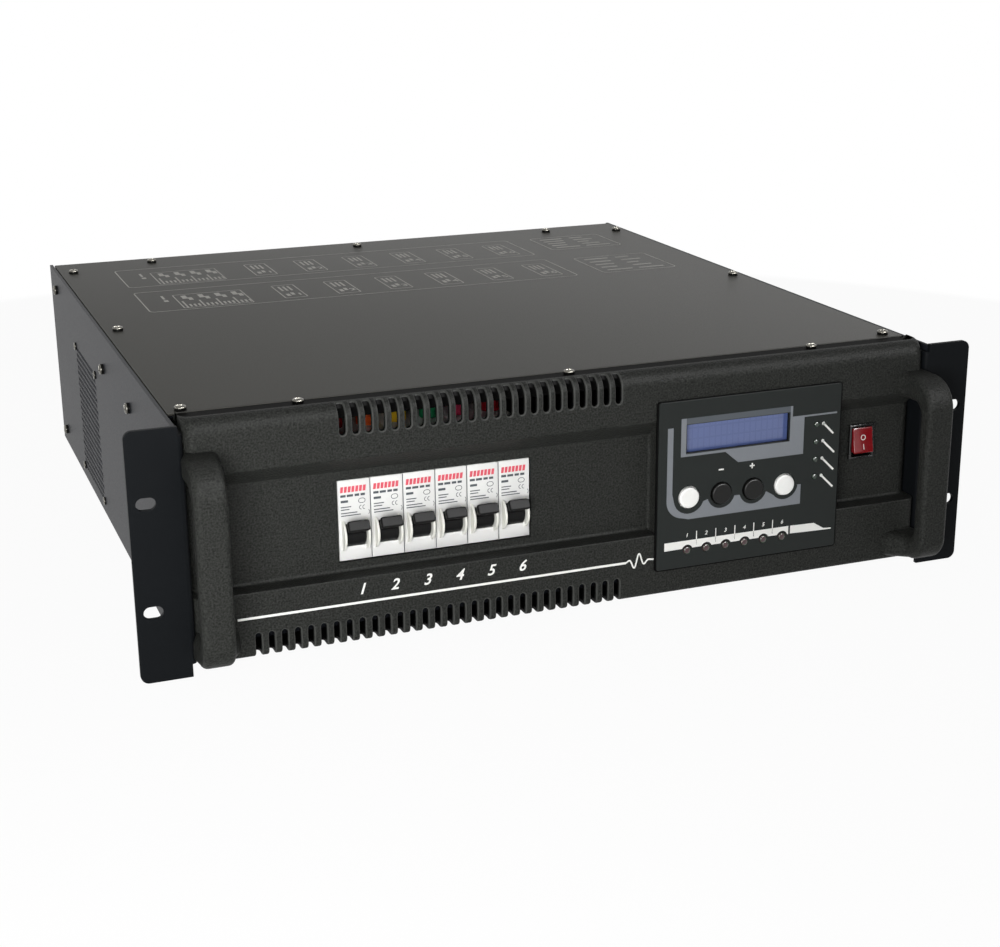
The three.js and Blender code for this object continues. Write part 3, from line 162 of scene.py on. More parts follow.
class Recipe:
    """The node tree of one material or world."""

    def __init__(self, owner: "bpy.types.Material | bpy.types.World") -> None:
        """Starts with an empty tree.

        Args:
            owner: the material or world that the tree belongs to.
        """
        owner.use_nodes = True
        self.owner = owner
        self.tree = owner.node_tree
        self.tree.nodes.clear()

    def node(self, kind: str, inputs: dict, settings: dict | None = None) -> bpy.types.Node:
        """Adds one node.

        Args:
            kind: the node's type.
            inputs: socket names or numbers with a value or a link for each.
            settings: attributes that are set first.

        Returns:
            The node.
        """
        node = self.tree.nodes.new(kind)
        for name, setting in (settings or {}).items():
            setattr(node, name, setting)
        for name, value in inputs.items():
            if isinstance(value, Value):
                self.tree.links.new(value.socket, node.inputs[name])
            else:
                node.inputs[name].default_value = value
        return node

    def value(
        self, kind: str, inputs: dict, settings: dict | None = None, output: "int | str" = 0
    ) -> Value:
        """Adds one node and picks one of its outputs.

        Args:
            kind: the node's type.
            inputs: socket names or numbers with a value or a link for each.
            settings: attributes that are set first.
            output: number or name of the output.

        Returns:
            The output.
        """
        return Value(self.tree, self.node(kind, inputs, settings).outputs[output])

    def place(self) -> Value:
        """Object coordinates, in metres."""
        return self.value("ShaderNodeTexCoord", {}, output="Object")

    def axes(self, place: Value) -> tuple[Value, Value, Value]:
        """Splits a place into its coordinates.

        Args:
            place: the place, in metres.

        Returns:
            Its x, y and z, in millimetres.
        """
        parts = self.node("ShaderNodeSeparateXYZ", {0: place}).outputs
        x, y, z = (Value(self.tree, part) * (1 / MILLIMETRE) for part in parts)
        return x, y, z

    def noise(self, place: Value, size: float, detail: float = 2.0) -> Value:
        """Smooth noise from 0 to 1.

        Args:
            place: where it is read, in metres.
            size: width of its bumps in millimetres.
            detail: how many finer layers it has.

        Returns:
            The noise.
        """
        return self.value("ShaderNodeTexNoise", {"Vector": place, "Scale": 1000.0 / size, "Detail": detail})

    def stretched(self, place: Value, scale: Place) -> Value:
        """A place scaled along each axis."""
        return self.value("ShaderNodeMapping", {"Vector": place, "Scale": scale})

    def mix(self, share: "Value | float", first: "Value | tuple", second: "Value | tuple") -> Value:
        """Blends two colours by a share of the second."""
        return self.value("ShaderNodeMix", {0: share, 6: first, 7: second}, {"data_type": "RGBA"}, 2)

    def bump(self, height: Value, depth: float) -> Value:
        """A normal that shows a height.

        Args:
            height: height from 0 to 1.
            depth: what a height of 1 stands for, in millimetres.

        Returns:
            The normal.
        """
        inputs = {"Height": height, "Distance": depth * MILLIMETRE, "Strength": 1.0}
        return self.value("ShaderNodeBump", inputs)

    def seen(self) -> Value:
        """Tells the rays that should see white.

        Returns:
            One for rays from the camera, from gloss or through clear pieces, else nought.
        """
        path = self.node("ShaderNodeLightPath", {}).outputs
        kinds = ("Camera", "Glossy", "Transmission")
        camera, gloss, clear = (Value(self.tree, path[f"Is {kind} Ray"]) for kind in kinds)
        return camera.apply("MAXIMUM", camera.apply("MAXIMUM", camera, gloss), clear)

    def surface(self, shader: Value) -> bpy.types.Material:
        """Ends the material's tree in a shader."""
        self.node("ShaderNodeOutputMaterial", {0: shader})
        return self.owner


# Finishes


@dataclass(frozen=True)
class Finish:
    """A surface with a fine grain and a slow drift of its tone."""

    name: str
    colour: str
    roughness: float = 0.45
    metallic: float = 0.0
    grain: float = 0.5
    grain_depth: float = 0.01
    grain_tone: float = 0.12
    drift: float = 60.0
    drift_tone: float = 0.08
    coat: float = 0.0
    specular: float = 0.5
    contrast: float = 1.0

    def tone(self, recipe: Recipe, place: Value, grain: Value) -> Value:
        """Colour over the surface: the named colour, lightened and darkened by grain and drift.

        Args:
            recipe: the material that is being made.
            place: object coordinates.
            grain: the fine noise.

        Returns:
            The colour.
        """
        base = linear(self.colour)
        total = self.grain_tone + self.drift_tone
        slow = recipe.noise(place, self.drift, 1.0)
        crisp = (grain - 0.5) * self.contrast + 0.5
        share = crisp * (self.grain_tone / total) + slow * (self.drift_tone / total)
        return recipe.mix(share, toned(base, 1 - total), toned(base, 1 + total))

    def relief(self, recipe: Recipe, place: Value, grain: Value) -> Value:
        """Normal over the surface, from the grain."""
        return recipe.bump(grain, self.grain_depth)

    def made(self) -> bpy.types.Material:
        """Makes the material once and then finds it again by its name.

        Returns:
            The material.
        """
        name = f"{self.name}_finish"
        found = bpy.data.materials.get(name)
        if found:
            return found
        recipe = Recipe(bpy.data.materials.new(name))
        place = recipe.place()
        grain = recipe.noise(place, self.grain)
        inputs = {
            "Base Color": self.tone(recipe, place, grain),
            "Roughness": (grain - 0.5) * 0.25 + self.roughness,
            "Metallic": self.metallic,
            "Normal": self.relief(recipe, place, grain),
            "Coat Weight": self.coat,
            "Coat Roughness": 0.08,
            "Specular IOR Level": self.specular,
        }
        return recipe.surface(recipe.value("ShaderNodeBsdfPrincipled", inputs))


@dataclass(frozen=True)
class Brushed(Finish):
    """Metal with fine scratches along one axis."""

    along: Place = (0.04, 1.0, 1.0)

    def relief(self, recipe: Recipe, place: Value, grain: Value) -> Value:
        """Normal from noise that is drawn out along the brushing."""
        lines = recipe.noise(recipe.stretched(place, self.along), self.grain, 3.0)
        return recipe.bump(lines, self.grain_depth)


@dataclass(frozen=True)
class CharacterDisplay(Finish):
    """Display with two rows of sixteen faint character cells."""

    left: float = 62.4
    low: float = 88.6
    cell_width: float = 3.56
    cell_height: float = 6.3
    dot_width: float = 0.6
    dot_height: float = 0.68

    def tone(self, recipe: Recipe, place: Value, grain: Value) -> Value:
        """Cells a little paler than the ground, split into dots.

        Args:
            recipe: the material that is being made.
            place: object coordinates.
            grain: the fine noise.

        Returns:
            The colour.
        """
        x, _, z = recipe.axes(place)
        across = (x - self.left).saw(self.cell_width)
        up = (z - self.low).saw(self.cell_height)
        cell = (across > 0.14) * (across < 0.92) * (up > 0.1) * (up < 0.94)
        dots = ((x.saw(self.dot_width) > 0.14) * (z.saw(self.dot_height) > 0.14)) * 0.5 + 0.5
        base = linear(self.colour)
        return recipe.mix(cell * dots * 0.8 + grain * 0.2, base, toned(base, 1.1, 0.004))


@dataclass(frozen=True)
class CircuitBoard(Finish):
    """Solder mask over tracks, with bare pads."""

    track: float = 9.0
    pad_scale: float = 220.0
    pad_tone: str = "b9bcae"

    def tone(self, recipe: Recipe, place: Value, grain: Value) -> Value:
        """Tracks as contour bands of a noise, pads as the cores of cells.

        Args:
            recipe: the material that is being made.
            place: object coordinates.
            grain: the fine noise.

        Returns:
            The colour.
        """
        tracks = recipe.noise(place, self.track, 0.0).saw(0.09) > 0.55
        cells = {"Vector": place, "Scale": self.pad_scale}
        pads = recipe.value("ShaderNodeTexVoronoi", cells, output="Distance") < 0.17
        base = linear(self.colour)
        mask = recipe.mix(tracks * 0.8 + grain * 0.2, base, toned(base, 1.7))
        return recipe.mix(pads, mask, linear(self.pad_tone))


@dataclass(frozen=True)
class Laminated(Finish):
    """Stacked steel sheets, seen as fine lines across one axis."""

    sheet: float = 0.6

    def relief(self, recipe: Recipe, place: Value, grain: Value) -> Value:
        """Normal from the sheets' edges."""
        _, y, _ = recipe.axes(place)
        return recipe.bump(y.saw(self.sheet), self.grain_depth)


class Paint(Enum):
    """Finishes of the pack: one for each material of its parts, and a few that paint a highlight or shade."""

    MOULDING = Finish(
        "fascia_moulding", "282927", grain=1.0, grain_depth=0.4, grain_tone=0.5, drift_tone=0.05,
        specular=0.06, contrast=2.8,
    )
    EAR = Finish("ear_paint", "111315", grain_depth=0.012, grain_tone=0.1, drift_tone=0.1, specular=0.04)
    # A darker, duller copy of the ear paint for the up-facing front rail: painted shade.
    RAIL = Finish("rail_paint", "0d0d0c", 0.5, grain_tone=0.1, specular=0.01)
    SIDE = Finish(
        "side_paint", "1c1e23", 0.4, grain=0.6, grain_depth=0.02, grain_tone=0.08, drift=120.0, specular=0.06
    )
    COVER = Finish(
        "cover_paint", "373631", 0.5, grain=0.6, grain_depth=0.02, grain_tone=0.08, drift=140.0, specular=0.18
    )
    PLATE = Finish("plate_paint", "232625", grain_depth=0.006, specular=0.1)
    STEEL = Brushed("display_steel", "9a9c9e", 0.38, 1.0, grain=0.4)
    SCREW = Brushed("screw_nickel", "6a6862", 0.24, 1.0, grain=0.3, grain_depth=0.015)
    # Near black, for the screws' rims: painted shade where the heads meet their seats.
    SHADE = Brushed("screw_side", "141413", 0.3, 0.6, grain=0.3, grain_depth=0.02, specular=0.2)
    ZINC = Brushed("rail_zinc", "aca898", 0.4, 1.0)
    ALLOY = Brushed("sink_alloy", "b0b2b4", 0.42, 1.0, grain_depth=0.02)
    DISPLAY = CharacterDisplay("display_film", "485684", 0.22, grain_depth=0.002, coat=0.6)
    BOARD = CircuitBoard("board_mask", "143d22", 0.4)
    WHITE = Finish("button_white", "efefec", 0.38, grain_depth=0.006, grain_tone=0.02, drift_tone=0.02)
    CASE = Finish("breaker_white", "d4d4d2", 0.42, grain_tone=0.02, drift_tone=0.03)
    CHEEK = Finish("cheek_ivory", "dcdcd4", 0.36, grain_depth=0.008, grain_tone=0.03)
    CAP = Finish("button_black", "0e0e0d", 0.35, grain_depth=0.008, grain_tone=0.1, specular=0.22)
    # A lighter copy of the moulding for the slots' lips: a painted highlight along the edges of the ribs.
    LIP = Finish("moulding_lip", "3a3b39", 0.4, grain=0.8, grain_depth=0.05, grain_tone=0.2, specular=0.1)
    BLACK = Finish("gloss_black", "101010", 0.26, grain_depth=0.008, grain_tone=0.15, coat=0.25)
    # Matt black: the real finish of the fan and the black plastic parts, and painted shade on the fascia's
    # inside, its slot walls and the gap round the control plate.
    MATT = Finish("matt_black", "0b0b0b", 0.5, grain_depth=0.02, grain_tone=0.15, specular=0.03)
    TOGGLE = Finish("toggle_black", "161616", 0.42, grain_tone=0.15, specular=0.07)
    RED = Finish("rocker_red", "7a0a12", 0.22, grain=0.8, grain_depth=0.006, grain_tone=0.1, coat=0.4)
    COPPER = Finish("winding_copper", "9c4a22", 0.3, 0.75, grain_tone=0.15)
    SHEETS = Laminated("core_sheets", "5c5a56", 0.42, 0.9, grain_depth=0.06)
    STRIP = Finish("strip_plastic", "1b1b1d", grain_depth=0.02, grain_tone=0.15)
    RUBBER = Finish("foot_rubber", "151515", 0.8, grain=0.9, grain_depth=0.05, grain_tone=0.2)
    INK = Finish("print_white", "e4e4e0", 0.5, grain=0.4, grain_depth=0.004, grain_tone=0.06)
    PALE_INK = Finish("print_pale", "bcbab2", 0.5, grain=0.4, grain_depth=0.004, grain_tone=0.1)
    GREY_INK = Finish("print_grey", "6e7277", grain=0.4, grain_depth=0.004, grain_tone=0.08)
    DARK_INK = Finish("print_dark", "3c4248", 0.5, grain=0.4, grain_depth=0.004, grain_tone=0.1)
    RED_INK = Finish("print_red", "d04858", 0.5, grain=0.4, grain_depth=0.004, grain_tone=0.1)
    LAMP_RED = Finish("lamp_red", "300b10", 0.16, grain=0.6, grain_depth=0.004, coat=0.6)
    LAMP_GREEN = Finish("lamp_green", "102415", 0.16, grain=0.6, grain_depth=0.004, coat=0.6)
    WIRE_RED = Finish("wire_red_cover", "a01220", 0.4)
    WIRE_ORANGE = Finish("wire_orange_cover", "f0622a", 0.4)
    WIRE_YELLOW = Finish("wire_yellow_cover", "f4c41e", 0.4)
    WIRE_GREEN = Finish("wire_green_cover", "1e8a58", 0.4)
    WIRE_PINK = Finish("wire_pink_cover", "cc2c5a", 0.4)

    def made(self) -> bpy.types.Material:
        """The material of this finish."""
        return self.value.made()


# Curves and surfaces


def arc(centre: Flat, radius: float, start: float, end: float, steps: int) -> np.ndarray:
    """Points of a circle's arc: centre plus radius times cosine and sine of an evenly growing angle.

    Args:
        centre: the circle's centre.
        radius: its radius.
        start: first angle in degrees.
        end: last angle in degrees.
        steps: number of equal steps.

    Returns:
        Array of steps + 1 points.
    """
    angles = np.radians(np.linspace(start, end, steps + 1))
    return np.stack([centre[0] + radius * np.cos(angles), centre[1] + radius * np.sin(angles)], axis=1)


def filleted(corners: list[Place], steps: int, closed: bool = False) -> np.ndarray:
    """A polyline with rounded corners.

    At a corner the arc touches both sides; its points turn from one touching point to the other
    round the arc's centre by evenly growing angles. The first and last corner of an open line are
    kept as points.

    Args:
        corners: across, up and fillet radius of each corner.
        steps: steps of each arc.
        closed: whether the last corner leads to the first.

    Returns:
        The points in order.
    """
    places = np.array([corner[:2] for corner in corners], float)
    count = len(places)
    parts = []
    for index, (_, _, radius) in enumerate(corners):
        if not closed and index in (0, count - 1):
            parts.append(places[index : index + 1])
            continue
        here = places[index]
        back = places[index - 1] - here
        ahead = places[(index + 1) % count] - here
        back, ahead = back / np.linalg.norm(back), ahead / np.linalg.norm(ahead)
        angle = math.acos(float(np.clip(back @ ahead, -1, 1)))
        reach = radius / math.tan(angle / 2)
        middle = here + (back + ahead) / np.linalg.norm(back + ahead) * radius / math.sin(angle / 2)
        first, last = here + back * reach - middle, here + ahead * reach - middle
        turn = math.pi - angle
        share = np.linspace(0, 1, steps + 1)[:, None]
        swept = np.sin((1 - share) * turn) * first + np.sin(share * turn) * last
        parts.append(middle + swept / math.sin(turn))
    return np.concatenate(parts)


def rounded(left: float, right: float, low: float, high: float, radius: float, steps: int = 8) -> np.ndarray:
    """Outline of a rectangle with rounded corners, counter-clockwise."""
    corners = [(left, low, radius), (right, low, radius), (right, high, radius), (left, high, radius)]
    return filleted(corners, steps, closed=True)


def ring(x: float, z: float, radius: float, steps: int = 32) -> np.ndarray:
    """Outline of a circle, counter-clockwise."""
    return arc((x, z), radius, 0, 360, steps)[:-1]


def turned_about(points: np.ndarray, degrees: float) -> np.ndarray:
    """Turns points about the x axis through the origin.

    Args:
        points: places with x, y and z in the last axis.
        degrees: the angle, from y towards z.

    Returns:
        The turned places.
    """
    turn = math.radians(degrees)
    x, y, z = np.moveaxis(points, -1, 0)
    sine, cosine = math.sin(turn), math.cos(turn)
    return np.stack([x, y * cosine - z * sine, y * sine + z * cosine], axis=-1)


def grid_faces(rows: int, columns: int, wrap: bool = False) -> np.ndarray:
    """Quads of a grid of points.

    Args:
        rows: number of rows.
        columns: number of columns.
        wrap: whether the last column joins the first.

    Returns:
        Array of four point numbers for each quad.
    """
    last = columns if wrap else columns - 1
    row, column = np.meshgrid(np.arange(rows - 1) * columns, np.arange(last), indexing="ij")
    beside = (column + 1) % columns
    corners = [row + column, row + beside, row + columns + beside, row + columns + column]
    return np.stack(corners, axis=-1).reshape(-1, 4)


def linked(name: str, data: bpy.types.ID) -> bpy.types.Object:
    """Puts data into the scene as a new object.

    Args:
        name: the object's name.
        data: its mesh, curve, lamp or camera.

    Returns:
        The object.
    """
    item = bpy.data.objects.new(name, data)
    bpy.context.scene.collection.objects.link(item)
    return item


def curve_mesh(curve: bpy.types.Curve) -> tuple[np.ndarray, list[list[int]]]:
    """Turns a curve into points and faces, and removes it.

    Args:
        curve: the curve.

    Returns:
        Its places and the point numbers of each face.
    """
    carrier = linked("outline", curve)
    mesh = bpy.data.meshes.new_from_object(carrier.evaluated_get(bpy.context.evaluated_depsgraph_get()))
    places = np.zeros(len(mesh.vertices) * 3)
    mesh.vertices.foreach_get("co", places)
    faces = [list(face.vertices) for face in mesh.polygons]
    bpy.data.objects.remove(carrier)
    bpy.data.curves.remove(curve)
    bpy.data.meshes.remove(mesh)
    return places.reshape(-1, 3), faces


class Skin:
    """Points and faces of one piece, gathered in millimetres."""

    def __init__(self) -> None:
        """Starts with nothing."""
        self.points: list[np.ndarray] = []
        self.faces: list[list[int]] = []
        self.paints: list[int] = []
        self.count = 0

    def add(self, points: np.ndarray, faces: "np.ndarray | list[list[int]]", paint: int = 0) -> None:
        """Adds points and the faces between them.

        Args:
            points: array of places.
            faces: point numbers of each face, counted from the first of these points.
            paint: number of the finish.
        """
        flat = np.asarray(points, float).reshape(-1, 3)
        rows = faces.tolist() if isinstance(faces, np.ndarray) else faces
        self.points.append(flat)
        self.faces += [[item + self.count for item in face] for face in rows]
        self.paints += [paint] * len(rows)
        self.count += len(flat)

    def loft(self, rings: np.ndarray, paint: int = 0, closed: bool = False) -> None:
        """Adds a closed body over rings of points.

        Args:
            rings: array of rings by points by three.
            paint: number of the finish.
            closed: whether the last ring leads to the first, as in a torus.
        """
        rows, columns = rings.shape[:2]
        if closed:
            rings = np.concatenate([rings, rings[:1]])
            self.add(rings, grid_faces(rows + 1, columns, wrap=True), paint)
            return
        self.add(rings, grid_faces(rows, columns, wrap=True), paint)
        ends = [list(range(columns)), list(range((rows - 1) * columns, rows * columns))[::-1]]
        self.paints += [paint] * 2
        self.faces += [[self.count - rows * columns + item for item in end] for end in ends]

    def turned(self, profile: np.ndarray, centre: Place, axis: str, steps: int, paint: int = 0) -> None:
        """Adds a turned body: each profile point goes round the axis at its radius.

        Args:
            profile: radius and place along the axis of each point.
            centre: where the axis starts.
            axis: "x", "y" or "z".
            steps: points round the axis.
            paint: number of the finish.
        """
        angle = np.linspace(0, 2 * math.pi, steps, endpoint=False)
        radius, along = profile[:, :1], np.repeat(profile[:, 1:], steps, axis=1)
        one, two = radius * np.cos(angle), radius * np.sin(angle)
        order = {"x": (along, one, two), "y": (one, along, two), "z": (one, two, along)}[axis]
        self.loft(np.stack(order, axis=-1) + np.array(centre), paint)

    def box(self, low: Place, high: Place, radius: float) -> None:
        """Adds a block whose upright edges and rims are rounded.

        Rings of a rounded rectangle are stacked along z; near the two ends they shrink along a
        quarter circle of the same radius.

        Args:
            low: lowest corner.
            high: highest corner.
            radius: radius of the edges.
        """
        steps = 3
        turn = np.radians(np.linspace(0, 90, steps + 1))
        inset = np.concatenate([radius * (1 - np.sin(turn)), radius * (1 - np.cos(turn))])
        level = np.concatenate([low[2] + radius * (1 - np.cos(turn)), high[2] - radius * (1 - np.sin(turn))])
        base = rounded(low[0], high[0], low[1], high[1], radius * 1.001, steps)
        middle = np.array([(low[0] + high[0]) / 2, (low[1] + high[1]) / 2])
        half = np.array([(high[0] - low[0]) / 2, (high[1] - low[1]) / 2])
        share = (half - inset[:, None]) / half
        flat = middle + (base - middle)[None] * share[:, None]
        self.loft(np.concatenate([flat, np.repeat(level[:, None, None], len(base), axis=1)], axis=2))

    def tube(self, path: np.ndarray, radius: float) -> None:
        """Adds a round tube along a path in a plane of constant x.

        Args:
            path: places along the middle of the tube.
            radius: its radius.
        """
        steps = 12
        heading = np.gradient(path, axis=0)
        heading /= np.linalg.norm(heading, axis=1)[:, None]
        away = np.stack([np.zeros(len(path)), -heading[:, 2], heading[:, 1]], axis=1)
        angle = np.linspace(0, 2 * math.pi, steps, endpoint=False)[None, :, None]
        across = np.array([1.0, 0.0, 0.0])
        self.loft(path[:, None] + radius * (np.cos(angle) * across + np.sin(angle) * away[:, None]))

    def screw(
        self, place: Place, axis: str, sign: float, radius: float = 3.2, height: float = 2.7,
        top: int = 0, side: int = 1,
    ) -> None:
        """Adds a pan head with a cross recess.

        The head is a polar grid: height falls off as the square root of one minus the fourth power of
        the distance from the middle, and sinks where the place is close to either arm of the cross.

        Args:
            place: middle of its seat.
            axis: the axis that it stands along.
            sign: the way that it points.
            radius: radius of the head.
            height: height of the head.
            top: number of the head's finish.
            side: number of the finish of its outermost band, the head's rim down to its seat; a dark finish
                there paints the shade where the head meets the seat.
        """
        steps = 32
        share = np.array([0, 0.1, 0.17, 0.24, 0.34, 0.45, 0.55, 0.65, 0.76, 0.86, 0.93, 0.98, 1.0])[:, None]
        angle = np.linspace(0, 2 * math.pi, steps, endpoint=False)[None]
        a, b = share * np.cos(angle), share * np.sin(angle)
        dome = height * (0.55 + 0.45 * np.sqrt(np.clip(1 - share**4, 0, 1))) + 0 * angle
        arm, reach = np.minimum(np.abs(a), np.abs(b)), np.maximum(np.abs(a), np.abs(b))
        cross = np.clip((0.15 - arm) / 0.06, 0, 1) * np.clip((0.66 - reach) / 0.08, 0, 1)
        rings = np.stack([a * radius, b * radius, dome - cross * height * 0.62], axis=-1)
        seat = rings[-1:].copy()
        seat[..., 2] = -0.4
        rings = np.concatenate([rings, seat])[..., {"x": (2, 0, 1), "y": (0, 2, 1), "z": (0, 1, 2)}[axis]]
        rings[..., "xyz".index(axis)] *= sign
        band = len(self.faces) + (len(share) - 1) * steps
        self.loft(rings + np.array(place), top)
        self.paints[band : band + steps] = [side] * steps

    def plate(self, outlines: list[np.ndarray], front: float, back: float, edge: float) -> None:
        """Adds an upright plate with holes and rounded rims, from a flat curve.

        Args:
            outlines: across and up of the outer outline, then of each hole.
            front: y of its front.
            back: y of its back.
            edge: radius of the rims.
        """
        curve = bpy.data.curves.new("outline", "CURVE")
        curve.dimensions, curve.fill_mode = "2D", "BOTH"
        curve.extrude = (back - front) / 2 - edge
        curve.bevel_depth, curve.bevel_resolution, curve.offset = edge, 1, -edge
        for outline in outlines:
            spline = curve.splines.new("POLY")
            spline.points.add(len(outline) - 1)
            flat = np.concatenate([outline, np.zeros((len(outline), 1)), np.ones((len(outline), 1))], axis=1)
            spline.points.foreach_set("co", flat.ravel())
            spline.use_cyclic_u = True
        places, faces = curve_mesh(curve)
        turned = np.stack([places[:, 0], (front + back) / 2 - places[:, 2], places[:, 1]], axis=1)
        self.add(turned, faces)

    def built(
        self, name: str, paints: list[Paint], slot: str = "", node: str = "", body: str = ROOT,
        angle: float = 34.0, outward: bool = True,
    ) -> None:
        """Makes the object, in place, in metres.

        Args:
            name: its name.
            paints: the finishes that its faces number.
            slot: the record's material slot, if it has one.
            node: the node that it stands for, if it stands for one.
            body: the body that it rides on.
            angle: edges sharper than this stay sharp, in degrees.
            outward: whether the faces are turned to point outwards, for closed bodies.
        """
        places = (np.concatenate(self.points) + FRAME_OFFSET) * MILLIMETRE
        mesh = bpy.data.meshes.new(name)
        mesh.from_pydata(places.tolist(), [], self.faces)
        mesh.polygons.foreach_set("material_index", self.paints)
        work = bmesh.new()
        work.from_mesh(mesh)
        if outward:
            bmesh.ops.remove_doubles(work, verts=work.verts, dist=WELD_DISTANCE)
            bmesh.ops.dissolve_degenerate(work, edges=work.edges, dist=1e-6)
            bmesh.ops.recalc_face_normals(work, faces=work.faces)
        work.to_mesh(mesh)
        work.free()
        piece = finished(name, mesh, paints, slot, node, body)
        mesh.polygons.foreach_set("use_smooth", [True] * len(mesh.polygons))
        mesh.set_sharp_from_angle(angle=math.radians(angle))
        if outward:
            even = piece.modifiers.new("flat faces lead", "WEIGHTED_NORMAL")
            even.keep_sharp, even.weight = True, 60


def finished(
    name: str, mesh: bpy.types.Mesh, paints: list[Paint], slot: str, node: str, body: str
) -> bpy.types.Object:
    """Links a mesh as a piece that rides on a body.

    Args:
        name: the piece's name.
        mesh: its mesh, in place.
        paints: its finishes.
        slot: the record's material slot, or nothing; not used.
        node: the node that it stands for, or nothing.
        body: the body that it rides on.

    Returns:
        The object.
    """
    mesh.update()
    for paint in paints:
        mesh.materials.append(paint.made())
    piece = linked(name, mesh)
    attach(piece, body)
    if node:
        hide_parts(node)
    LOG.info("piece %s: %d faces on %s", name, len(mesh.polygons), body)
    return piece


@dataclass
class Assembly:
    """A sub-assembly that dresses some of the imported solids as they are."""

    nodes: dict

    def soften(
        self, node: str, paint: Paint, slot: str, width: float, steps: int = 2, smooth: bool = True
    ) -> None:
        """Replaces a solid by a merged copy with its edges rounded.

        Args:
            node: the node that is copied and replaced.
            paint: its finish.
            slot: the record's material slot.
            width: width of the rounding in millimetres.
            steps: steps of the rounding.
            smooth: whether its faces are joined and shaded smooth; a flat panel with many holes isn't.
        """
        mesh = self.nodes[node].data.copy()
        mesh.materials.clear()
        work = bmesh.new()
        work.from_mesh(mesh)
        bmesh.ops.remove_doubles(work, verts=work.verts, dist=WELD_DISTANCE)
        if smooth:
            bmesh.ops.dissolve_limit(work, angle_limit=math.radians(1), verts=work.verts, edges=work.edges)
        work.to_mesh(mesh)
        work.free()
        piece = finished(f"{node}_piece", mesh, [paint], slot, node, ROOT)
        mesh.polygons.foreach_set("material_index", [0] * len(mesh.polygons))
        mesh.polygons.foreach_set("use_smooth", [smooth] * len(mesh.polygons))
        rounding = piece.modifiers.new("rounded edges", "BEVEL")
        rounding.width, rounding.segments = width * MILLIMETRE, steps
        rounding.limit_method, rounding.angle_limit = "ANGLE", math.radians(40)
        rounding.harden_normals = smooth


# Printed marks


def strip(inner: np.ndarray, outer: np.ndarray) -> tuple[np.ndarray, np.ndarray]:
    """A closed strip between two outlines that have as many points each.

    Args:
        inner: the inner outline.
        outer: the outer outline.

    Returns:
        Its points and faces.
    """
    both = np.stack([inner, outer], axis=1)
    return np.concatenate([both, both[:1]]).reshape(-1, 2), grid_faces(len(inner) + 1, 2)


class Print:
    """Thin printed shapes that lie just proud of a surface."""

    def __init__(self, level: float, plane: str = "front") -> None:
        """Keeps where the print lies.

        Args:
            level: y of the surface under an upright print, or z of one on the top.
            plane: "front" for (x, z) outlines, "top" for (x, y) outlines.
        """
        self.level = level + PRINT_GAP * (1 if plane == "top" else -1)
        self.plane = plane
        self.skin = Skin()

    def lifted(self, outline: np.ndarray) -> np.ndarray:
        """Points of an outline on the print's surface."""
        return np.insert(outline, 1 if self.plane == "front" else 2, self.level, axis=1)

    def shape(self, outline: np.ndarray, paint: int) -> None:
        """Adds a filled outline that faces outwards: its area's sign tells which way round it runs.

        Args:
            outline: its points in order.
            paint: number of the finish.
        """
        after = np.roll(outline, -1, axis=0)
        area = float(np.sum(outline[:, 0] * after[:, 1] - after[:, 0] * outline[:, 1]))
        ordered = outline if area > 0 else outline[::-1]
        self.skin.add(self.lifted(ordered), [list(range(len(outline)))], paint)

    def bar(self, left: float, right: float, low: float, high: float, paint: int = 0) -> None:
        """Adds a plain bar."""
        self.shape(np.array([(left, low), (right, low), (right, high), (left, high)], float), paint)

    def line(self, path: np.ndarray, width: float, paint: int = 0) -> None:
        """Adds a line of even width: each point moves half a width to both sides of its heading.

        Args:
            path: points along the line.
            width: its width.
            paint: number of the finish.
        """
        heading = np.gradient(path, axis=0)
        heading /= np.linalg.norm(heading, axis=1)[:, None]
        side = np.stack([-heading[:, 1], heading[:, 0]], axis=1) * width / 2
        both = np.stack([path + side, path - side], axis=1).reshape(-1, 2)
        self.skin.add(self.lifted(both), grid_faces(len(path), 2), paint)

    def frame(self, left: float, right: float, low: float, high: float, width: float, radius: float) -> None:
        """Adds a hollow rectangle as a strip between two outlines.

        Args:
            left: its left edge.
            right: its right edge.
            low: its lower edge.
            high: its upper edge.
            width: width of the line.
            radius: radius of its inner corners.
        """
        outer = rounded(left, right, low, high, radius + width, 4)
        inner = rounded(left + width, right - width, low + width, high - width, radius, 4)
        points, faces = strip(inner, outer)
        self.skin.add(self.lifted(points), faces)

    def sign(
        self, text: str, x: float, height: float, size: float, shear: float = 0.0, paint: int = 0
    ) -> None:
        """Adds a digit or sign from the built-in font, centred at a place.

        Args:
            text: the sign.
            x: its middle across.
            height: its middle up.
            size: its height.
            shear: how far it slants.
            paint: number of the finish.
        """
        curve = bpy.data.curves.new("sign", "FONT")
        curve.body, curve.size, curve.shear, curve.offset = text, size * 1.4, shear, size * 0.025
        curve.align_x, curve.align_y, curve.resolution_u = "CENTER", "CENTER", 3
        places, faces = curve_mesh(curve)
        self.skin.add(self.lifted(places[:, :2] + np.array([x, height])), faces, paint)

    def built(self, name: str, paints: list[Paint]) -> None:
        """Makes the print's object."""
        self.skin.built(name, paints, outward=False)


# Sub-assemblies


@dataclass(frozen=True)
class SlotRow:
    """A row of upright slots: the middle of the first one, their number, width and pitch."""

    first: float
    count: int
    width: float
    pitch: float = 6.94

    def edges(self) -> np.ndarray:
        """Places across at which the slots' cells start and end."""
        return self.first + (np.arange(self.count + 1) - 0.5) * self.pitch


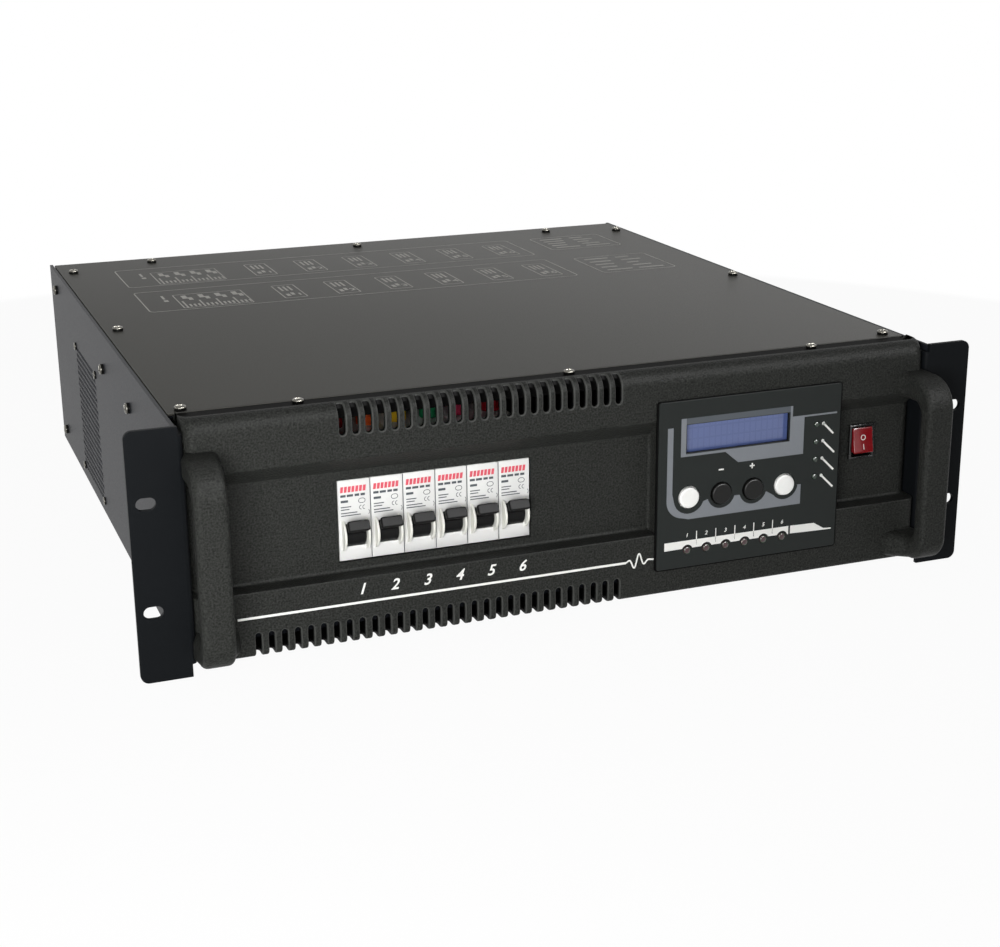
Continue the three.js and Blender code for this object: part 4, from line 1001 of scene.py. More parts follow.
@dataclass
class Fascia:
    """The front moulding: a brow with slots, a recessed middle, a block for the controls, a plinth."""

    half: float = 211.9
    wall: float = 2.5
    depth: float = 20.0
    flange_back: float = 34.0
    flange_level: float = 128.2
    top: float = 134.3
    bottom: float = 5.2
    brow_radius: float = 8.5
    brow_back: float = 8.8
    brow_levels: Row = (120.2, 117.6, 115.2, 112.6, 109.6, 107.4)
    plinth_levels: Row = (34.0, 27.3, 22.0, 20.4, 18.8, 17.0, 14.6, 12.2, 10.0)
    plinth_radius: float = 3.0
    under_places: Row = (5.0, 7.5, 10.0, 12.0)
    end_radius: float = 6.0
    end_place: float = 12.0
    recess: float = 11.0
    step_top: float = 105.7
    step_foot: float = 96.2
    floor_levels: Row = (93.2, 91.15, 86.7, 76.8, 67.0, 56.0, 46.05)
    ledge: float = 41.0
    ledge_end: float = 36.0
    bay: Flat = (-200.0, 36.0)
    block: Flat = (45.2, 156.0)
    block_columns: Row = (51.2, 60.0, 80.0, 100.6, 120.0, 140.0, 150.0)
    right_columns: Row = (160.5, 166.0, 171.2, 178.8, 186.4, 192.0, 199.0)
    breaker_window: Row = (-133.1, -25.3, 46.05, 91.15)
    switch_window: Row = (171.2, 186.4, 67.0, 86.7)
    panel_window: Row = (51.2, 150.0, 27.3, 109.6)
    upper: SlotRow = SlotRow(-131.62, 23, 3.3)
    upper_back: float = 7.4
    upper_low: float = 118.4
    upper_cell: float = 115.2
    lower: SlotRow = SlotRow(-180.2, 30, 3.0)
    lower_back: float = 9.0
    lower_top: float = 18.3
    lower_cell: float = 22.0
    lip: float = 0.8
    column_width: float = 1.45

    def profile(self, inside: bool) -> np.ndarray:
        """Side view of one skin from the flange over the brow and down to the bottom.

        The brow and the plinth edge are quarter circles. Between them the line steps back into the
        recess with small fillets; how far it steps back is kept apart, so that the step can fade out.

        Args:
            inside: whether it is the inner skin, a wall's thickness behind the outer one.

        Returns:
            Rows of y without the recess, z, how far the recess sets it back, and the y it may reach.
        """
        wall = self.wall if inside else 0.0
        level = self.flange_level - wall
        radius = self.brow_radius
        brow = arc((radius, self.top - radius), radius - wall, 112 if inside else 90, 180, 14)
        steps = self.recess_line(inside)
        radius = self.plinth_radius
        edge = arc((radius, self.bottom + radius), radius - wall, 180, 270, 4)
        flange = [(self.flange_back, level), (brow[0, 0] + 0.7, level), (brow[0, 0] + 0.3, brow[0, 1])]
        under = [(y, self.bottom + wall) for y in (*self.under_places, self.depth)]
        before = np.concatenate([flange, brow, [(wall, z) for z in self.brow_levels]])
        after = np.concatenate([[(wall, z) for z in self.plinth_levels], edge, under])
        base = np.concatenate([before, [(wall, z) for z in steps[:, 1]], after])
        set_back = np.concatenate([np.zeros(len(before)), steps[:, 0] - wall, np.zeros(len(after))])
        limit = np.where(np.arange(len(base)) < 2, self.flange_back, self.depth)
        return np.column_stack([base, set_back, limit])

    def recess_line(self, inside: bool) -> np.ndarray:
        """Side view of the recess: a slope down from the brow, the floor, and the ledge of the plinth.

        The inner line is the outer one moved back by the wall, with tighter or wider fillets.

        Args:
            inside: whether it is the inner skin's line.

        Returns:
            Rows of y and z.
        """
        shift = self.wall if inside else 0.0
        floor, ledge = self.recess + shift, self.ledge - shift
        height = self.step_top - self.step_foot
        drop = shift * (math.hypot(self.recess, height) - height) / self.recess
        start, radii = (106.2, (0, 0.3, 3.2, 4.2, 0.3, 0)) if inside else (106.6, (0, 1.0, 1.0, 2.0, 1.0, 0))
        places = [
            (shift, start), (shift, self.step_top - drop), (floor, self.step_foot - drop),
            (floor, ledge), (shift, ledge), (shift, self.ledge_end),
        ]
        arc_steps = 4
        line = filleted([(*place, radius) for place, radius in zip(places, radii)], arc_steps)
        after = 1 + 2 * (arc_steps + 1)
        return np.concatenate([line[:after], [(floor, z) for z in self.floor_levels], line[after:]])

    def plan(self, inside: bool) -> np.ndarray:
        """Plan of one skin: x, the recess's share and how far the end turns back, from left to right.

        Args:
            inside: whether it is the inner skin.

        Returns:
            Rows of x, share of the recess's depth and set-back.
        """
        wall = self.wall if inside else 0.0
        reach, radius = self.half - wall, self.end_radius - wall
        turn = arc((self.end_radius - self.half, radius), radius, 180, 270, 7)
        end = np.concatenate([[(-reach, self.depth - wall), (-reach, self.end_place - wall)], turn])
        left_end = np.insert(end, 1, 1.0, axis=1)
        left, right = self.block
        side, floor = left + wall, self.recess
        corners = [
            (left - 6, floor, 0), (side, floor, 2.0 + wall), (side, 0.0, 0.3 if inside else 1.0),
            (left + 6, 0.0, 0),
        ]
        step = np.insert(filleted(corners, 5)[1:-1] / (1.0, floor), 2, 0.0, axis=1)
        mirror = step[::-1] * (-1, 1, 1) + (left + right, 0, 0)
        spans = ((self.bay_columns(), 1.0), (self.block_columns, 0.0), (self.right_columns, 1.0))
        bay, block, right_bay = (
            np.column_stack([columns, np.full(len(columns), share), np.zeros(len(columns))])
            for columns, share in spans
        )
        return np.concatenate([left_end, bay, step, block, mirror, right_bay, left_end[::-1] * (-1, 1, 1)])

    def bay_columns(self) -> np.ndarray:
        """Columns of the left bay: the edges of slot cells and breaker window, with finer ones between.

        Returns:
            Their places across.
        """
        places = [self.bay, self.upper.edges(), self.lower.edges(), self.breaker_window[:2]]
        marks = np.unique(np.round(np.concatenate(places), 3))
        steps = np.maximum(1, np.ceil(np.diff(marks) / self.column_width)).astype(int)
        parts = [np.linspace(a, b, n, endpoint=False) for a, b, n in zip(marks[:-1], marks[1:], steps)]
        return np.concatenate([*parts, marks[-1:]])

    def skin_points(self, inside: bool) -> np.ndarray:
        """Sum of profile and plan.

        x is the plan's and z the profile's; y is the profile's, plus the recess times its share, plus
        the end's set-back, up to the row's limit.

        Args:
            inside: whether it is the inner skin.

        Returns:
            Array of rows by columns by three.
        """
        y, z, recess, limit = (column[:, None] for column in self.profile(inside).T)
        x, share, end = self.plan(inside).T
        return np.stack(np.broadcast_arrays(x, np.minimum(y + recess * share + end, limit), z), axis=-1)

    def lanes(self, z: np.ndarray, lengths: np.ndarray) -> list[tuple[SlotRow, tuple[int, int], Flat]]:
        """Where the slots of both rows start and end.

        Args:
            z: level of each row of the outer profile.
            lengths: distance along the profile of each row.

        Returns:
            Each row of slots with the first and last row of its cells, and the distances between
            which its slots run.
        """
        over = lengths[2] + self.brow_back
        face = over - self.brow_radius + math.pi / 2 * self.brow_radius
        upper = (over - self.upper_back, face + self.top - self.brow_radius - self.upper_low)
        first, last = int(np.argmin(np.abs(z - self.lower_cell))), len(z) - 5
        start = float(np.interp(-self.lower_top, -z[first:last], lengths[first:last]))
        lower = (start, float(lengths[-2]) - (self.under_places[-1] - self.lower_back))
        upper_rows = (2, int(np.argmin(np.abs(z - self.upper_cell))))
        return [(self.upper, upper_rows, upper), (self.lower, (first, len(z) - 2), lower)]

    def slot_rings(
        self, edge: np.ndarray, x: float, span: Flat, radius: float, lengths: np.ndarray,
        skins: list[np.ndarray],
    ) -> np.ndarray:
        """Rings of points from a cell's edge in to a slot and back through the wall.

        Each point of the cell's edge is drawn towards the slot's middle line until it is a radius
        away; the lip is a quarter circle between the surface and the slot's wall.

        Args:
            edge: across and along of the cell's edge points.
            x: the slot's middle.
            span: where its middle line starts and ends along the profile.
            radius: half its width.
            lengths: distance along the profile of each row.
            skins: outer and inner profile rows.

        Returns:
            Array of rings by points by three.
        """
        nearest = np.stack([np.full(len(edge), x), np.clip(edge[:, 1], *span)], axis=1)
        away = edge - nearest
        away /= np.linalg.norm(away, axis=1)[:, None]
        lip = self.lip
        rings = []
        for grown, deep in ((lip, 0.0), (lip * 0.3, lip * 0.3), (0.0, lip), (0.0, self.wall)):
            flat = nearest + away * (radius + grown)
            share = deep / self.wall
            outer, inner = (
                np.stack([np.interp(flat[:, 1], lengths, skin[:, axis]) for axis in (0, 1)], axis=1)
                for skin in skins
            )
            rings.append(np.insert(outer * (1 - share) + inner * share, 0, flat[:, 0], axis=1))
        return np.array(rings)

    def filled(self, z: np.ndarray, x: np.ndarray) -> np.ndarray:
        """Which cells of the grid lie outside the three windows.

        Args:
            z: level of each row.
            x: place across of each column.

        Returns:
            True where a cell is filled.
        """
        level, across = ((z[1:] + z[:-1]) / 2)[:, None], ((x[1:] + x[:-1]) / 2)[None]
        front = (np.arange(len(z) - 1) > 3)[:, None]
        filled = np.ones((len(z) - 1, len(x) - 1), bool)
        for left, right, low, high in (self.breaker_window, self.switch_window, self.panel_window):
            filled &= ~((level > low) & (level < high) & front & (across > left) & (across < right))
        return filled

    def build(self) -> None:
        """Builds both skins, their rims and the slots, and dresses them."""
        profiles = [self.profile(False), self.profile(True)]
        z, x = profiles[0][:, 1], self.plan(False)[:, 0]
        rows, columns = len(z), len(x)
        size = rows * columns
        filled = self.filled(z, x)
        cells = filled.copy()
        distances = np.linalg.norm(np.diff(profiles[0][:, :2], axis=0), axis=1)
        lengths = np.concatenate([[0], np.cumsum(distances)])
        patches = []
        for slots, (top_row, low_row), (start, end) in self.lanes(z, lengths):
            radius = slots.width / 2
            for centre in slots.first + np.arange(slots.count) * slots.pitch:
                left, right = (
                    int(np.argmin(np.abs(x - (centre + side * slots.pitch / 2)))) for side in (-1, 1)
                )
                cells[top_row:low_row, left:right] = False
                across, down = np.arange(left, right + 1), np.arange(top_row, low_row + 1)
                loop = np.concatenate([
                    top_row * columns + across, down[1:] * columns + right,
                    low_row * columns + across[-2::-1], down[-2:0:-1] * columns + left,
                ])
                edge = np.stack([x[loop % columns], lengths[loop // columns]], axis=1)
                span = (start + radius, end - radius)
                patches.append((loop, self.slot_rings(edge, centre, span, radius, lengths, profiles)))
        quads = grid_faces(rows, columns).reshape(rows - 1, columns - 1, 4)[cells]
        faces = [quads, quads[:, ::-1] + size, self.rim_faces(filled, columns, size)]
        # The inner skin gets the third finish, matt black: painted shade on the moulding's inside.
        paints = [np.full(len(part), paint) for part, paint in zip(faces, (0, 2, 0))]
        points = [self.skin_points(inside).reshape(-1, 3) for inside in (False, True)]
        total = 2 * size
        for loop, rings in patches:
            count = len(loop)
            between = total + np.arange(4 * count).reshape(4, count)
            ids = np.concatenate([loop[None], between, loop[None] + size])
            after = np.roll(ids, -1, axis=1)
            faces.append(np.stack([ids[:-1], after[:-1], after[1:], ids[1:]], axis=-1).reshape(-1, 4))
            # Bands from the surface in: moulding, then two of lip paint (a painted highlight), then two of
            # matt black (painted shade in the slot's walls).
            paints.append(np.repeat([0, 1, 1, 2, 2], count))
            points.append(rings.reshape(-1, 3))
            total += 4 * count
        skin = Skin()
        skin.add(np.concatenate(points), np.concatenate(faces))
        skin.paints = np.concatenate(paints).tolist()
        # The second finish paints a highlight on the slots' lips, the third paints shade on the inner skin
        # and the slot walls.
        finishes = [Paint.MOULDING, Paint.LIP, Paint.MATT]
        skin.built("fascia_moulding", finishes, "fascia_plastic", "front_fascia", angle=50)

    def rim_faces(self, filled: np.ndarray, columns: int, size: int) -> np.ndarray:
        """Quads that close the wall between both skins wherever the filled quads end.

        Args:
            filled: which quads of the grid are filled.
            columns: columns of points.
            size: points of one skin.

        Returns:
            The quads.
        """
        padded = np.pad(filled, 1)
        row, column = np.nonzero(padded[:-1, 1:-1] != padded[1:, 1:-1])
        across = np.stack([row * columns + column, row * columns + column + 1], axis=1)
        row, column = np.nonzero(padded[1:-1, :-1] != padded[1:-1, 1:])
        down = np.stack([row * columns + column, (row + 1) * columns + column], axis=1)
        edges = np.concatenate([across, down])
        return np.column_stack([edges, edges[:, ::-1] + size])


@dataclass
class Handles:
    """Two pull handles: a grip bar on two arms that spread where they meet the fascia."""

    outer: float = 214.3
    fascia_end: float = 211.5
    width: float = 17.0
    reach: float = 29.0
    grip_back: float = -18.0
    top: float = 118.0
    edge: float = 3.4
    inner_edge: float = 5.2
    root: float = 4.4
    upper_flare: tuple = ((-6, -3, -1, 0, 5), (0, 0.4, 1.6, 2.8, 3.4))
    lower_flare: tuple = ((-16, -14, -12, -10, -8.2, 0, 5), (0, 0.25, 0.9, 2.3, 4.4, 7.6, 9.2))

    def paths(self) -> tuple[np.ndarray, np.ndarray]:
        """Side views of the handle's outside and of its opening, with as many points each.

        Returns:
            Rows of y and z, from the upper root round to the lower root, for both lines.
        """
        front, back = -self.reach, self.grip_back
        outer = [
            [(self.root, self.top), (-1.0, self.top), (-6.0, self.top)],
            arc((front + 18, 100.0), 18.0, 90, 180, 14),
            [(front, z) for z in (88.0, 76.0, 63.0, 50.0, 37.0)],
            arc((front + 14, 25.0), 14.0, 180, 270, 14),
            [(-8.0, 9.6), (-1.0, 8.0), (self.root, 7.6)],
        ]
        inner = [
            [(self.root, 103.0), (-1.0, 103.0), (-4.0, 103.0)],
            arc((back + 7, 96.0), 7.0, 90, 180, 14),
            [(back, z) for z in (82.0, 72.0, 62.0, 52.0, 42.0)],
            arc((back + 7, 30.0), 7.0, 180, 270, 14),
            [(-4.0, 23.0), (-1.0, 23.0), (self.root, 23.0)],
        ]
        return np.concatenate(outer), np.concatenate(inner)

    def rings(self) -> np.ndarray:
        """Rounded rectangles carried along the handle.

        A section spans from the opening to the outside and across the width; its outer corners have
        one radius and those at the opening another. Its inner side moves towards the middle of the
        pack as it nears the fascia.

        Returns:
            Array of rings by points by three.
        """
        outside, inside = self.paths()
        along = outside - inside
        length = np.linalg.norm(along, axis=1)[:, None]
        turn = np.radians(np.linspace(0, 90, 6))
        deep, across = [], []
        corners = ((False, False, 180), (True, False, -90), (True, True, 0), (False, True, 90))
        for far, right, start in corners:
            radius = self.edge if far else self.inner_edge
            angle = turn + math.radians(start)
            middle = self.width - radius if right else radius
            deep.append((length - radius if far else radius) + radius * np.cos(angle) + 0 * length)
            across.append(middle + radius * np.sin(angle) + 0 * length)
        deep, across = np.concatenate(deep, axis=1), np.concatenate(across, axis=1)
        flat = inside[:, None] + (along / length)[:, None] * deep[..., None]
        y, z = flat[..., 0], flat[..., 1]
        flare = np.where(z > 60, np.interp(y, *self.upper_flare), np.interp(y, *self.lower_flare))
        x = self.outer - across - flare * (across / self.width) ** 2
        x = np.where(y > -0.4, np.minimum(x, self.fascia_end), x)
        return np.stack([x, y, z], axis=-1)

    def build(self) -> None:
        """Builds the right handle and its mirror image."""
        for name, sign in (("left_handle", -1.0), ("right_handle", 1.0)):
            skin = Skin()
            skin.loft(self.rings() * np.array([sign, 1.0, 1.0]))
            skin.built(f"{name}_bar", [Paint.MOULDING], "fascia_plastic", name, angle=60)


@dataclass
class Ears:
    """Rack ears: a plate with two slots, bent back beside the fascia."""

    outer: float = 241.3
    bend: float = 212.2
    bend_radius: float = 3.0
    flange_back: float = 30.0
    flange_levels: Flat = (7.0, 127.9)
    sheet: float = 2.5
    height: float = 132.5
    corner: float = 4.5
    slots: Flat = (37.675, 94.825)
    slot_x: float = 232.55
    slot_shift: float = 1.75
    slot_radius: float = 3.25

    def build(self) -> None:
        """Builds both ears, each a plate and the flange that is bent back from it."""
        inner, radius = self.bend + self.sheet, self.bend_radius
        corners = [
            (inner, 0.0, 0.3), (self.outer, 0.0, self.corner), (self.outer, self.height, self.corner),
            (inner, self.height, 0.3),
        ]
        centre = (self.bend + radius, radius)
        plan = np.concatenate([
            [(inner + 0.9, 0.02)], arc(centre, radius, 270, 180, 8),
            [(self.bend, self.flange_back), (inner, self.flange_back)],
            arc(centre, radius - self.sheet, 180, 270, 8), [(inner + 0.9, self.sheet - 0.02)],
        ])
        outlines = [filleted(corners, 10, closed=True), *(self.slot(z) for z in self.slots)]
        for name, sign in (("left_rack_ear", -1.0), ("right_rack_ear", 1.0)):
            flip = np.array([sign, 1.0])
            skin = Skin()
            skin.plate([outline * flip for outline in outlines], 0.0, self.sheet, 0.22)
            skin.loft(np.stack([np.insert(plan * flip, 2, z, axis=1) for z in self.flange_levels]))
            skin.built(f"{name}_plate", [Paint.EAR], "ear_paint", name, angle=40)

    def slot(self, level: float) -> np.ndarray:
        """Outline of a slot with half-round ends at a level."""
        ends = ((self.slot_shift, -90, 90), (-self.slot_shift, 90, 270))
        return np.concatenate([arc((self.slot_x + x, level), self.slot_radius, a, b, 12) for x, a, b in ends])


@dataclass
class SheetBody(Assembly):
    """The sheet metal body: sides, cover, front rail, rear and tray, with its screws and feet."""

    half: float = 217.0
    front: float = 2.8
    back: float = 448.5
    bottom: float = 5.2
    top: float = 131.5
    sheet: float = 2.0
    grille: Flat = (300.8, 55.0)
    hole_pitch: float = 4.66
    hole_radius: float = 1.72
    hole_columns: int = 18
    seat: Box = ((-216.0, 29.2, 128.5), (-199.0, 440.7, 130.0))
    rail: Box = ((-211.0, 9.5, 128.4), (211.0, 26.9, 131.6))
    rail_screws: Place = (-148.5, 1.5, 150.5)
    rail_screw_y: float = 22.2
    cover_level: float = 131.9
    cover_screws: tuple[Flat, ...] = (
        (-207, 31), (205, 34), (-206.7, 221), (207.5, 222), (-206, 409), (207, 411),
        (-148.6, 427), (3.7, 427), (155, 427),
    )
    side_screws: tuple[Flat, ...] = ((222.8, 108.8), (132.6, 107.8), (419.3, 119.1), (425.6, 16.4))
    fan_screw: float = 41.25
    rear_level: float = 442.5
    rear_screws: Row = (-205, -70, 70, 205)
    rear_rows: Flat = (122, 16)
    foot_x: float = 205.0

    def grille_wall(self) -> None:
        """Builds the left side: a wall with a staggered field of small holes, and the seat for the cover.

        A hole's cell is a rectangle with a point at each corner and in the middle of each side, joined
        to the eight points of the hole; every second row is moved by half a cell, and half a cell
        without a hole fills its two ends.
        """
        rise = self.hole_pitch * math.sqrt(3) / 2
        rows = int(round(self.hole_columns * self.hole_pitch / rise))
        cell = np.array([self.hole_pitch, rise])
        low = np.array(self.grille) - (self.hole_columns, rows) * cell / 2
        high = low + (self.hole_columns, rows) * cell
        square = np.array([(0, 0), (0.5, 0), (1, 0), (1, 0.5), (1, 1), (0.5, 1), (0, 1), (0, 0.5)]) * cell
        angle = np.radians([225, 270, 315, 0, 45, 90, 135, 180])
        hole = cell / 2 + self.hole_radius * np.stack([np.cos(angle), np.sin(angle)], axis=1)
        row, column = np.meshgrid(np.arange(rows), np.arange(self.hole_columns), indexing="ij")
        keep = ~((row % 2 == 1) & (column == self.hole_columns - 1))
        origin = low + np.stack([column + 0.5 * (row % 2), row], axis=-1)[keep] * cell
        outer, inner = -self.half, -self.half + self.sheet
        layers = [(square, outer), (hole, outer), (hole, inner), (square, inner)]
        cells = np.stack([np.insert(origin[:, None] + shape, 0, x, axis=2) for shape, x in layers], axis=1)
        start = np.arange(len(origin))[:, None, None] * len(layers) * len(square)
        skin = Skin()
        skin.add(cells, (start + grid_faces(len(layers), len(square), wrap=True)).reshape(-1, 4))
        half_cell = np.array([(0, 0), (0.5, 0), (0.5, 0.5), (0.5, 1), (0, 1), (0, 0.5)]) * cell
        spots_y = np.linspace(low[0], high[0], 2 * self.hole_columns + 1)[:, None]
        spots_z = np.linspace(low[1], high[1], 2 * rows + 1)[:, None]
        corners = np.array([
            (self.front, self.bottom), (self.back, self.bottom),
            (self.back, self.top), (self.front, self.top),
        ])
        sides = (
            np.insert(spots_y[::-1], 1, low[1], axis=1), np.insert(spots_z[::-1], 0, high[0], axis=1),
            np.insert(spots_y, 1, high[1], axis=1), np.insert(spots_z, 0, low[0], axis=1),
        )
        flat = [
            half_cell + (y, low[1] + index * rise)
            for index in range(1, rows, 2) for y in (low[0], high[0] - self.hole_pitch / 2)
        ]
        flat += [np.concatenate([corners[[n, (n + 1) % 4]], side])[::-1] for n, side in enumerate(sides)]
        for x, order in ((outer, 1), (inner, -1)):
            for outline in flat:
                skin.add(np.insert(outline, 0, x, axis=1), [list(range(len(outline)))[::order]])
        edge = np.stack([np.insert(corners, 0, x, axis=1) for x in (outer, inner)])
        skin.add(edge, grid_faces(2, 4, wrap=True))
        skin.box(*self.seat, 0.3)
        skin.built("left_side_wall", [Paint.SIDE], "side_paint", "left_side_panel", angle=30)

    def screws(self) -> None:
        """Builds the screws of the cover, the rail, the sides, the fan and the rear as one piece."""
        skin = Skin()
        for x, y in self.cover_screws:
            skin.screw((x, y, self.cover_level), "z", 1)
        for x in self.rail_screws:
            skin.screw((x, self.rail_screw_y, self.rail[1][2]), "z", 1, 3.1, 2.5)
        for y, z in self.side_screws:
            skin.screw((-self.half, y, z), "x", -1)
            skin.screw((self.half, y, z), "x", 1)
        for a in (-self.fan_screw, self.fan_screw):
            for b in (-self.fan_screw, self.fan_screw):
                skin.screw((-self.half, self.grille[0] + a, self.grille[1] + b), "x", -1, 2.6, 1.3)
        for z in self.rear_rows:
            for x in self.rear_screws:
                skin.screw((x, self.rear_level, z), "y", 1)
        # The second finish paints shade on the heads' rims.
        skin.built("body_screws", [Paint.SCREW, Paint.SHADE], "zinc_steel", angle=30)

    def feet(self) -> None:
        """Builds the feet: turned rubber blocks with a rounded lower rim and a recess in the middle."""
        rim = arc((7.6, -0.4), 1.4, -90, 0, 5)
        hollow, side = [(0, -0.6), (3.0, -0.6), (3.4, -1.8)], [(8.9, 3.2), (9.0, 4.9), (0, 4.9)]
        profile = np.concatenate([hollow, rim, side])
        for end, y in (("front", 60.0), ("rear", 388.5)):
            for hand, x in (("left", -self.foot_x), ("right", self.foot_x)):
                foot = Skin()
                foot.turned(profile, (x, y, 0.0), "z", 40)
                name = f"{end}_{hand}_foot"
                foot.built(f"{name}_rubber", [Paint.RUBBER], "foot_rubber", name)

    def build(self) -> None:
        """Builds and dresses the body."""
        self.grille_wall()
        self.soften("right_side_panel", Paint.SIDE, "side_paint", 0.3)
        self.soften("rear_panel", Paint.SIDE, "side_paint", 0.05, smooth=False)
        self.soften("base_tray", Paint.SIDE, "side_paint", 0.25)
        self.soften("top_cover", Paint.COVER, "cover_paint", 0.45, 3)
        # The rail gets the shaded copy of the ear paint.
        rail = Skin()
        rail.box(*self.rail, 0.4)
        rail.built("front_rail_bar", [Paint.RAIL], "ear_paint", "front_rail")
        self.screws()
        self.feet()


@dataclass
class ControlPanel(Assembly):
    """The raised plate with its print, display, buttons and lamps."""

    left: float = 44.2
    right: float = 157.0
    low: float = 20.3
    high: float = 116.6
    front: float = -2.0
    back: float = -0.3
    window: Row = (61.0, 124.5, 86.5, 102.6)
    film: Box = ((59.9, 1.72, 85.4), (125.6, 2.88, 103.7))
    buttons: Row = (63.1, 82.95, 102.8, 122.65)
    button_row: float = 61.0
    dish_radius: float = 4.9
    channel_first: float = 62.7
    channel_pitch: float = 11.95
    channel_row: float = 30.1
    channel_radius: float = 2.28
    status_x: float = 142.0
    status_rows: Row = (63.4, 73.6, 83.8, 94.0)
    status_radius: float = 1.66
    status_share: float = 0.73

    def channel(self, number: float) -> float:
        """Place across of a channel lamp, or between two of them."""
        return self.channel_first + self.channel_pitch * number

    def plate(self) -> None:
        """Builds the plate with its window and holes, and a black strip under its edge that paints the shadow
        in the gap round it.
        """
        holes = [rounded(*self.window, 0.5, 3), *(ring(x, self.button_row, 6.5) for x in self.buttons)]
        holes += [ring(self.channel(n), self.channel_row, 2.3, 20) for n in range(CHANNELS)]
        holes += [ring(self.status_x, z, 1.7, 16) for z in self.status_rows]
        skin = Skin()
        outline = rounded(self.left, self.right, self.low, self.high, 1.4)
        skin.plate([outline, *holes], self.front, self.back, 0.4)
        skin.built("control_plate_sheet", [Paint.PLATE], "plate_paint", "control_plate")
        # A matt black strip just larger than the plate: partly the plate's dark edge, partly painted shadow
        # in the gap round it.
        seal = Skin()
        outside = rounded(self.left - 0.8, self.right + 0.8, self.low - 0.9, self.high + 0.2, 1.8)
        inside = rounded(self.left + 2.0, self.right - 2.0, self.low + 2.0, self.high - 2.0, 1.0)
        seal.plate([outside, inside], -1.2, 0.3, 0.1)
        seal.built("control_plate_seal", [Paint.MATT])

    def print_work(self) -> None:
        """Prints the display's frame, the buttons' field, the lamps' band, the digits and the marks."""
        marks = Print(self.front)
        grey, white, dark = 0, 1, 2
        for paint, outline in (
            (grey, [(57.5, 106.4), (57.5, 84.7), (60.6, 84.7), (60.6, 106.4)]),
            (grey, [(60.6, 84.7), (84.8, 84.7), (92.9, 77.8), (133.8, 77.8), (133.8, 86.1), (60.6, 86.1)]),
            (grey, [
                (124.9, 86.1), (133.8, 86.1), (133.8, 99.2), (154.6, 99.2),
                (154.6, 100.2), (126.3, 100.2), (126.3, 106.4), (124.9, 106.4),
            ]),
            (dark, [(60.6, 103.0), (124.9, 103.0), (124.9, 106.4), (60.6, 106.4)]),
        ):
            marks.shape(np.array(outline), paint)
        row = self.button_row
        first, *others = self.buttons
        turns = zip(others[::-1], (218, 196, 196), (350, 344, 344))
        field = [
            [(49.4, 101.8), (49.4, 60.0)], arc((60.0, 60.0), 10.6, 180, 262, 10),
            [(63.0, 48.4), (133.2, 48.4), (133.2, 60.0), (130.6, 60.0)],
            *(arc((x, row), 8.6, end, start, 12) for x, start, end in turns),
            arc((first, row), 9.4, 340, 190, 12), [(52.8, 64.0), (52.8, 101.8)],
        ]
        marks.shape(np.concatenate(field), grey)
        scallops = [arc((self.channel(n), self.channel_row), 3.4, 158, 22, 8) for n in range(CHANNELS)]
        band = [[(48.6, 36.0), (48.6, 31.2)], *scallops, [(126.4, 30.9), (126.4, 35.9)]]
        marks.shape(np.concatenate(band), white)
        tail = [
            (127.6, 35.9), (127.6, 31.2), (143.4, 30.7), (154.3, 30.5), (154.3, 31.3), (149.2, 31.6),
            (142.9, 35.5),
        ]
        marks.shape(np.array(tail), white)
        for n in range(CHANNELS - 1):
            x = self.channel(n + 0.47)
            marks.bar(x - 0.28, x + 0.28, 35.9, 40.9, white)
            marks.bar(x - 0.2, x + 0.2, 32.7, 35.8, dark)
        for n in range(CHANNELS):
            marks.sign(str(n + 1), self.channel(n) - 0.4, 38.9, 2.3, 0.2, white)
        minus, plus = (80.9, 84.1, 74.4, 75.2), (100.3, 103.3, 74.3, 75.1)
        upright = (101.4, 102.2, 73.2, 76.2)
        for stroke in (minus, plus, upright):
            marks.bar(*stroke, white)
        for z, (across, down) in zip(self.status_rows, [(7.7, -7.6)] * 3 + [(6.6, -6.6)]):
            start = np.array([146.2, z + 0.2])
            marks.line(np.stack([start, start + (across, down)]), 1.1, white)
            marks.shape(ring(*start, 0.95, 12), white)
        marks.built("control_print", [Paint.GREY_INK, Paint.INK, Paint.DARK_INK])

    def display(self) -> None:
        """Builds the display's film with its character cells."""
        skin = Skin()
        skin.box(*self.film, 0.3)
        skin.built("display_film_sheet", [Paint.DISPLAY], "display_glass", "display_glass")

    def button_caps(self) -> None:
        """Builds the caps: turned bodies with a rounded rim and a flange behind the plate.

        The faces of the two outer caps are crowned and those of the two inner ones hollow.
        """
        names = ("escape_button", "down_button", "up_button", "enter_button")
        out = np.linspace(0, 1, 6)
        for index, (name, x) in enumerate(zip(names, self.buttons)):
            outer = index in (0, 3)
            dish = np.column_stack([self.dish_radius * out, -3.45 - 0.15 * out**2 * (-1 if outer else 1)])
            rim = arc((self.dish_radius, dish[-1, 1] + 1.1), 1.1, -90, 0, 6)
            stem = [(6.0, 0.0), (7.7, 0.0), (7.7, 1.0), (2.2, 1.0), (2.2, 3.2), (0, 3.2)]
            skin = Skin()
            skin.turned(np.concatenate([dish, rim, stem]), (x, 0.0, self.button_row), "y", 48)
            paint, slot = (Paint.WHITE, "white_plastic") if outer else (Paint.CAP, "black_plastic")
            skin.built(f"{name}_cap", [paint], slot, name, name)

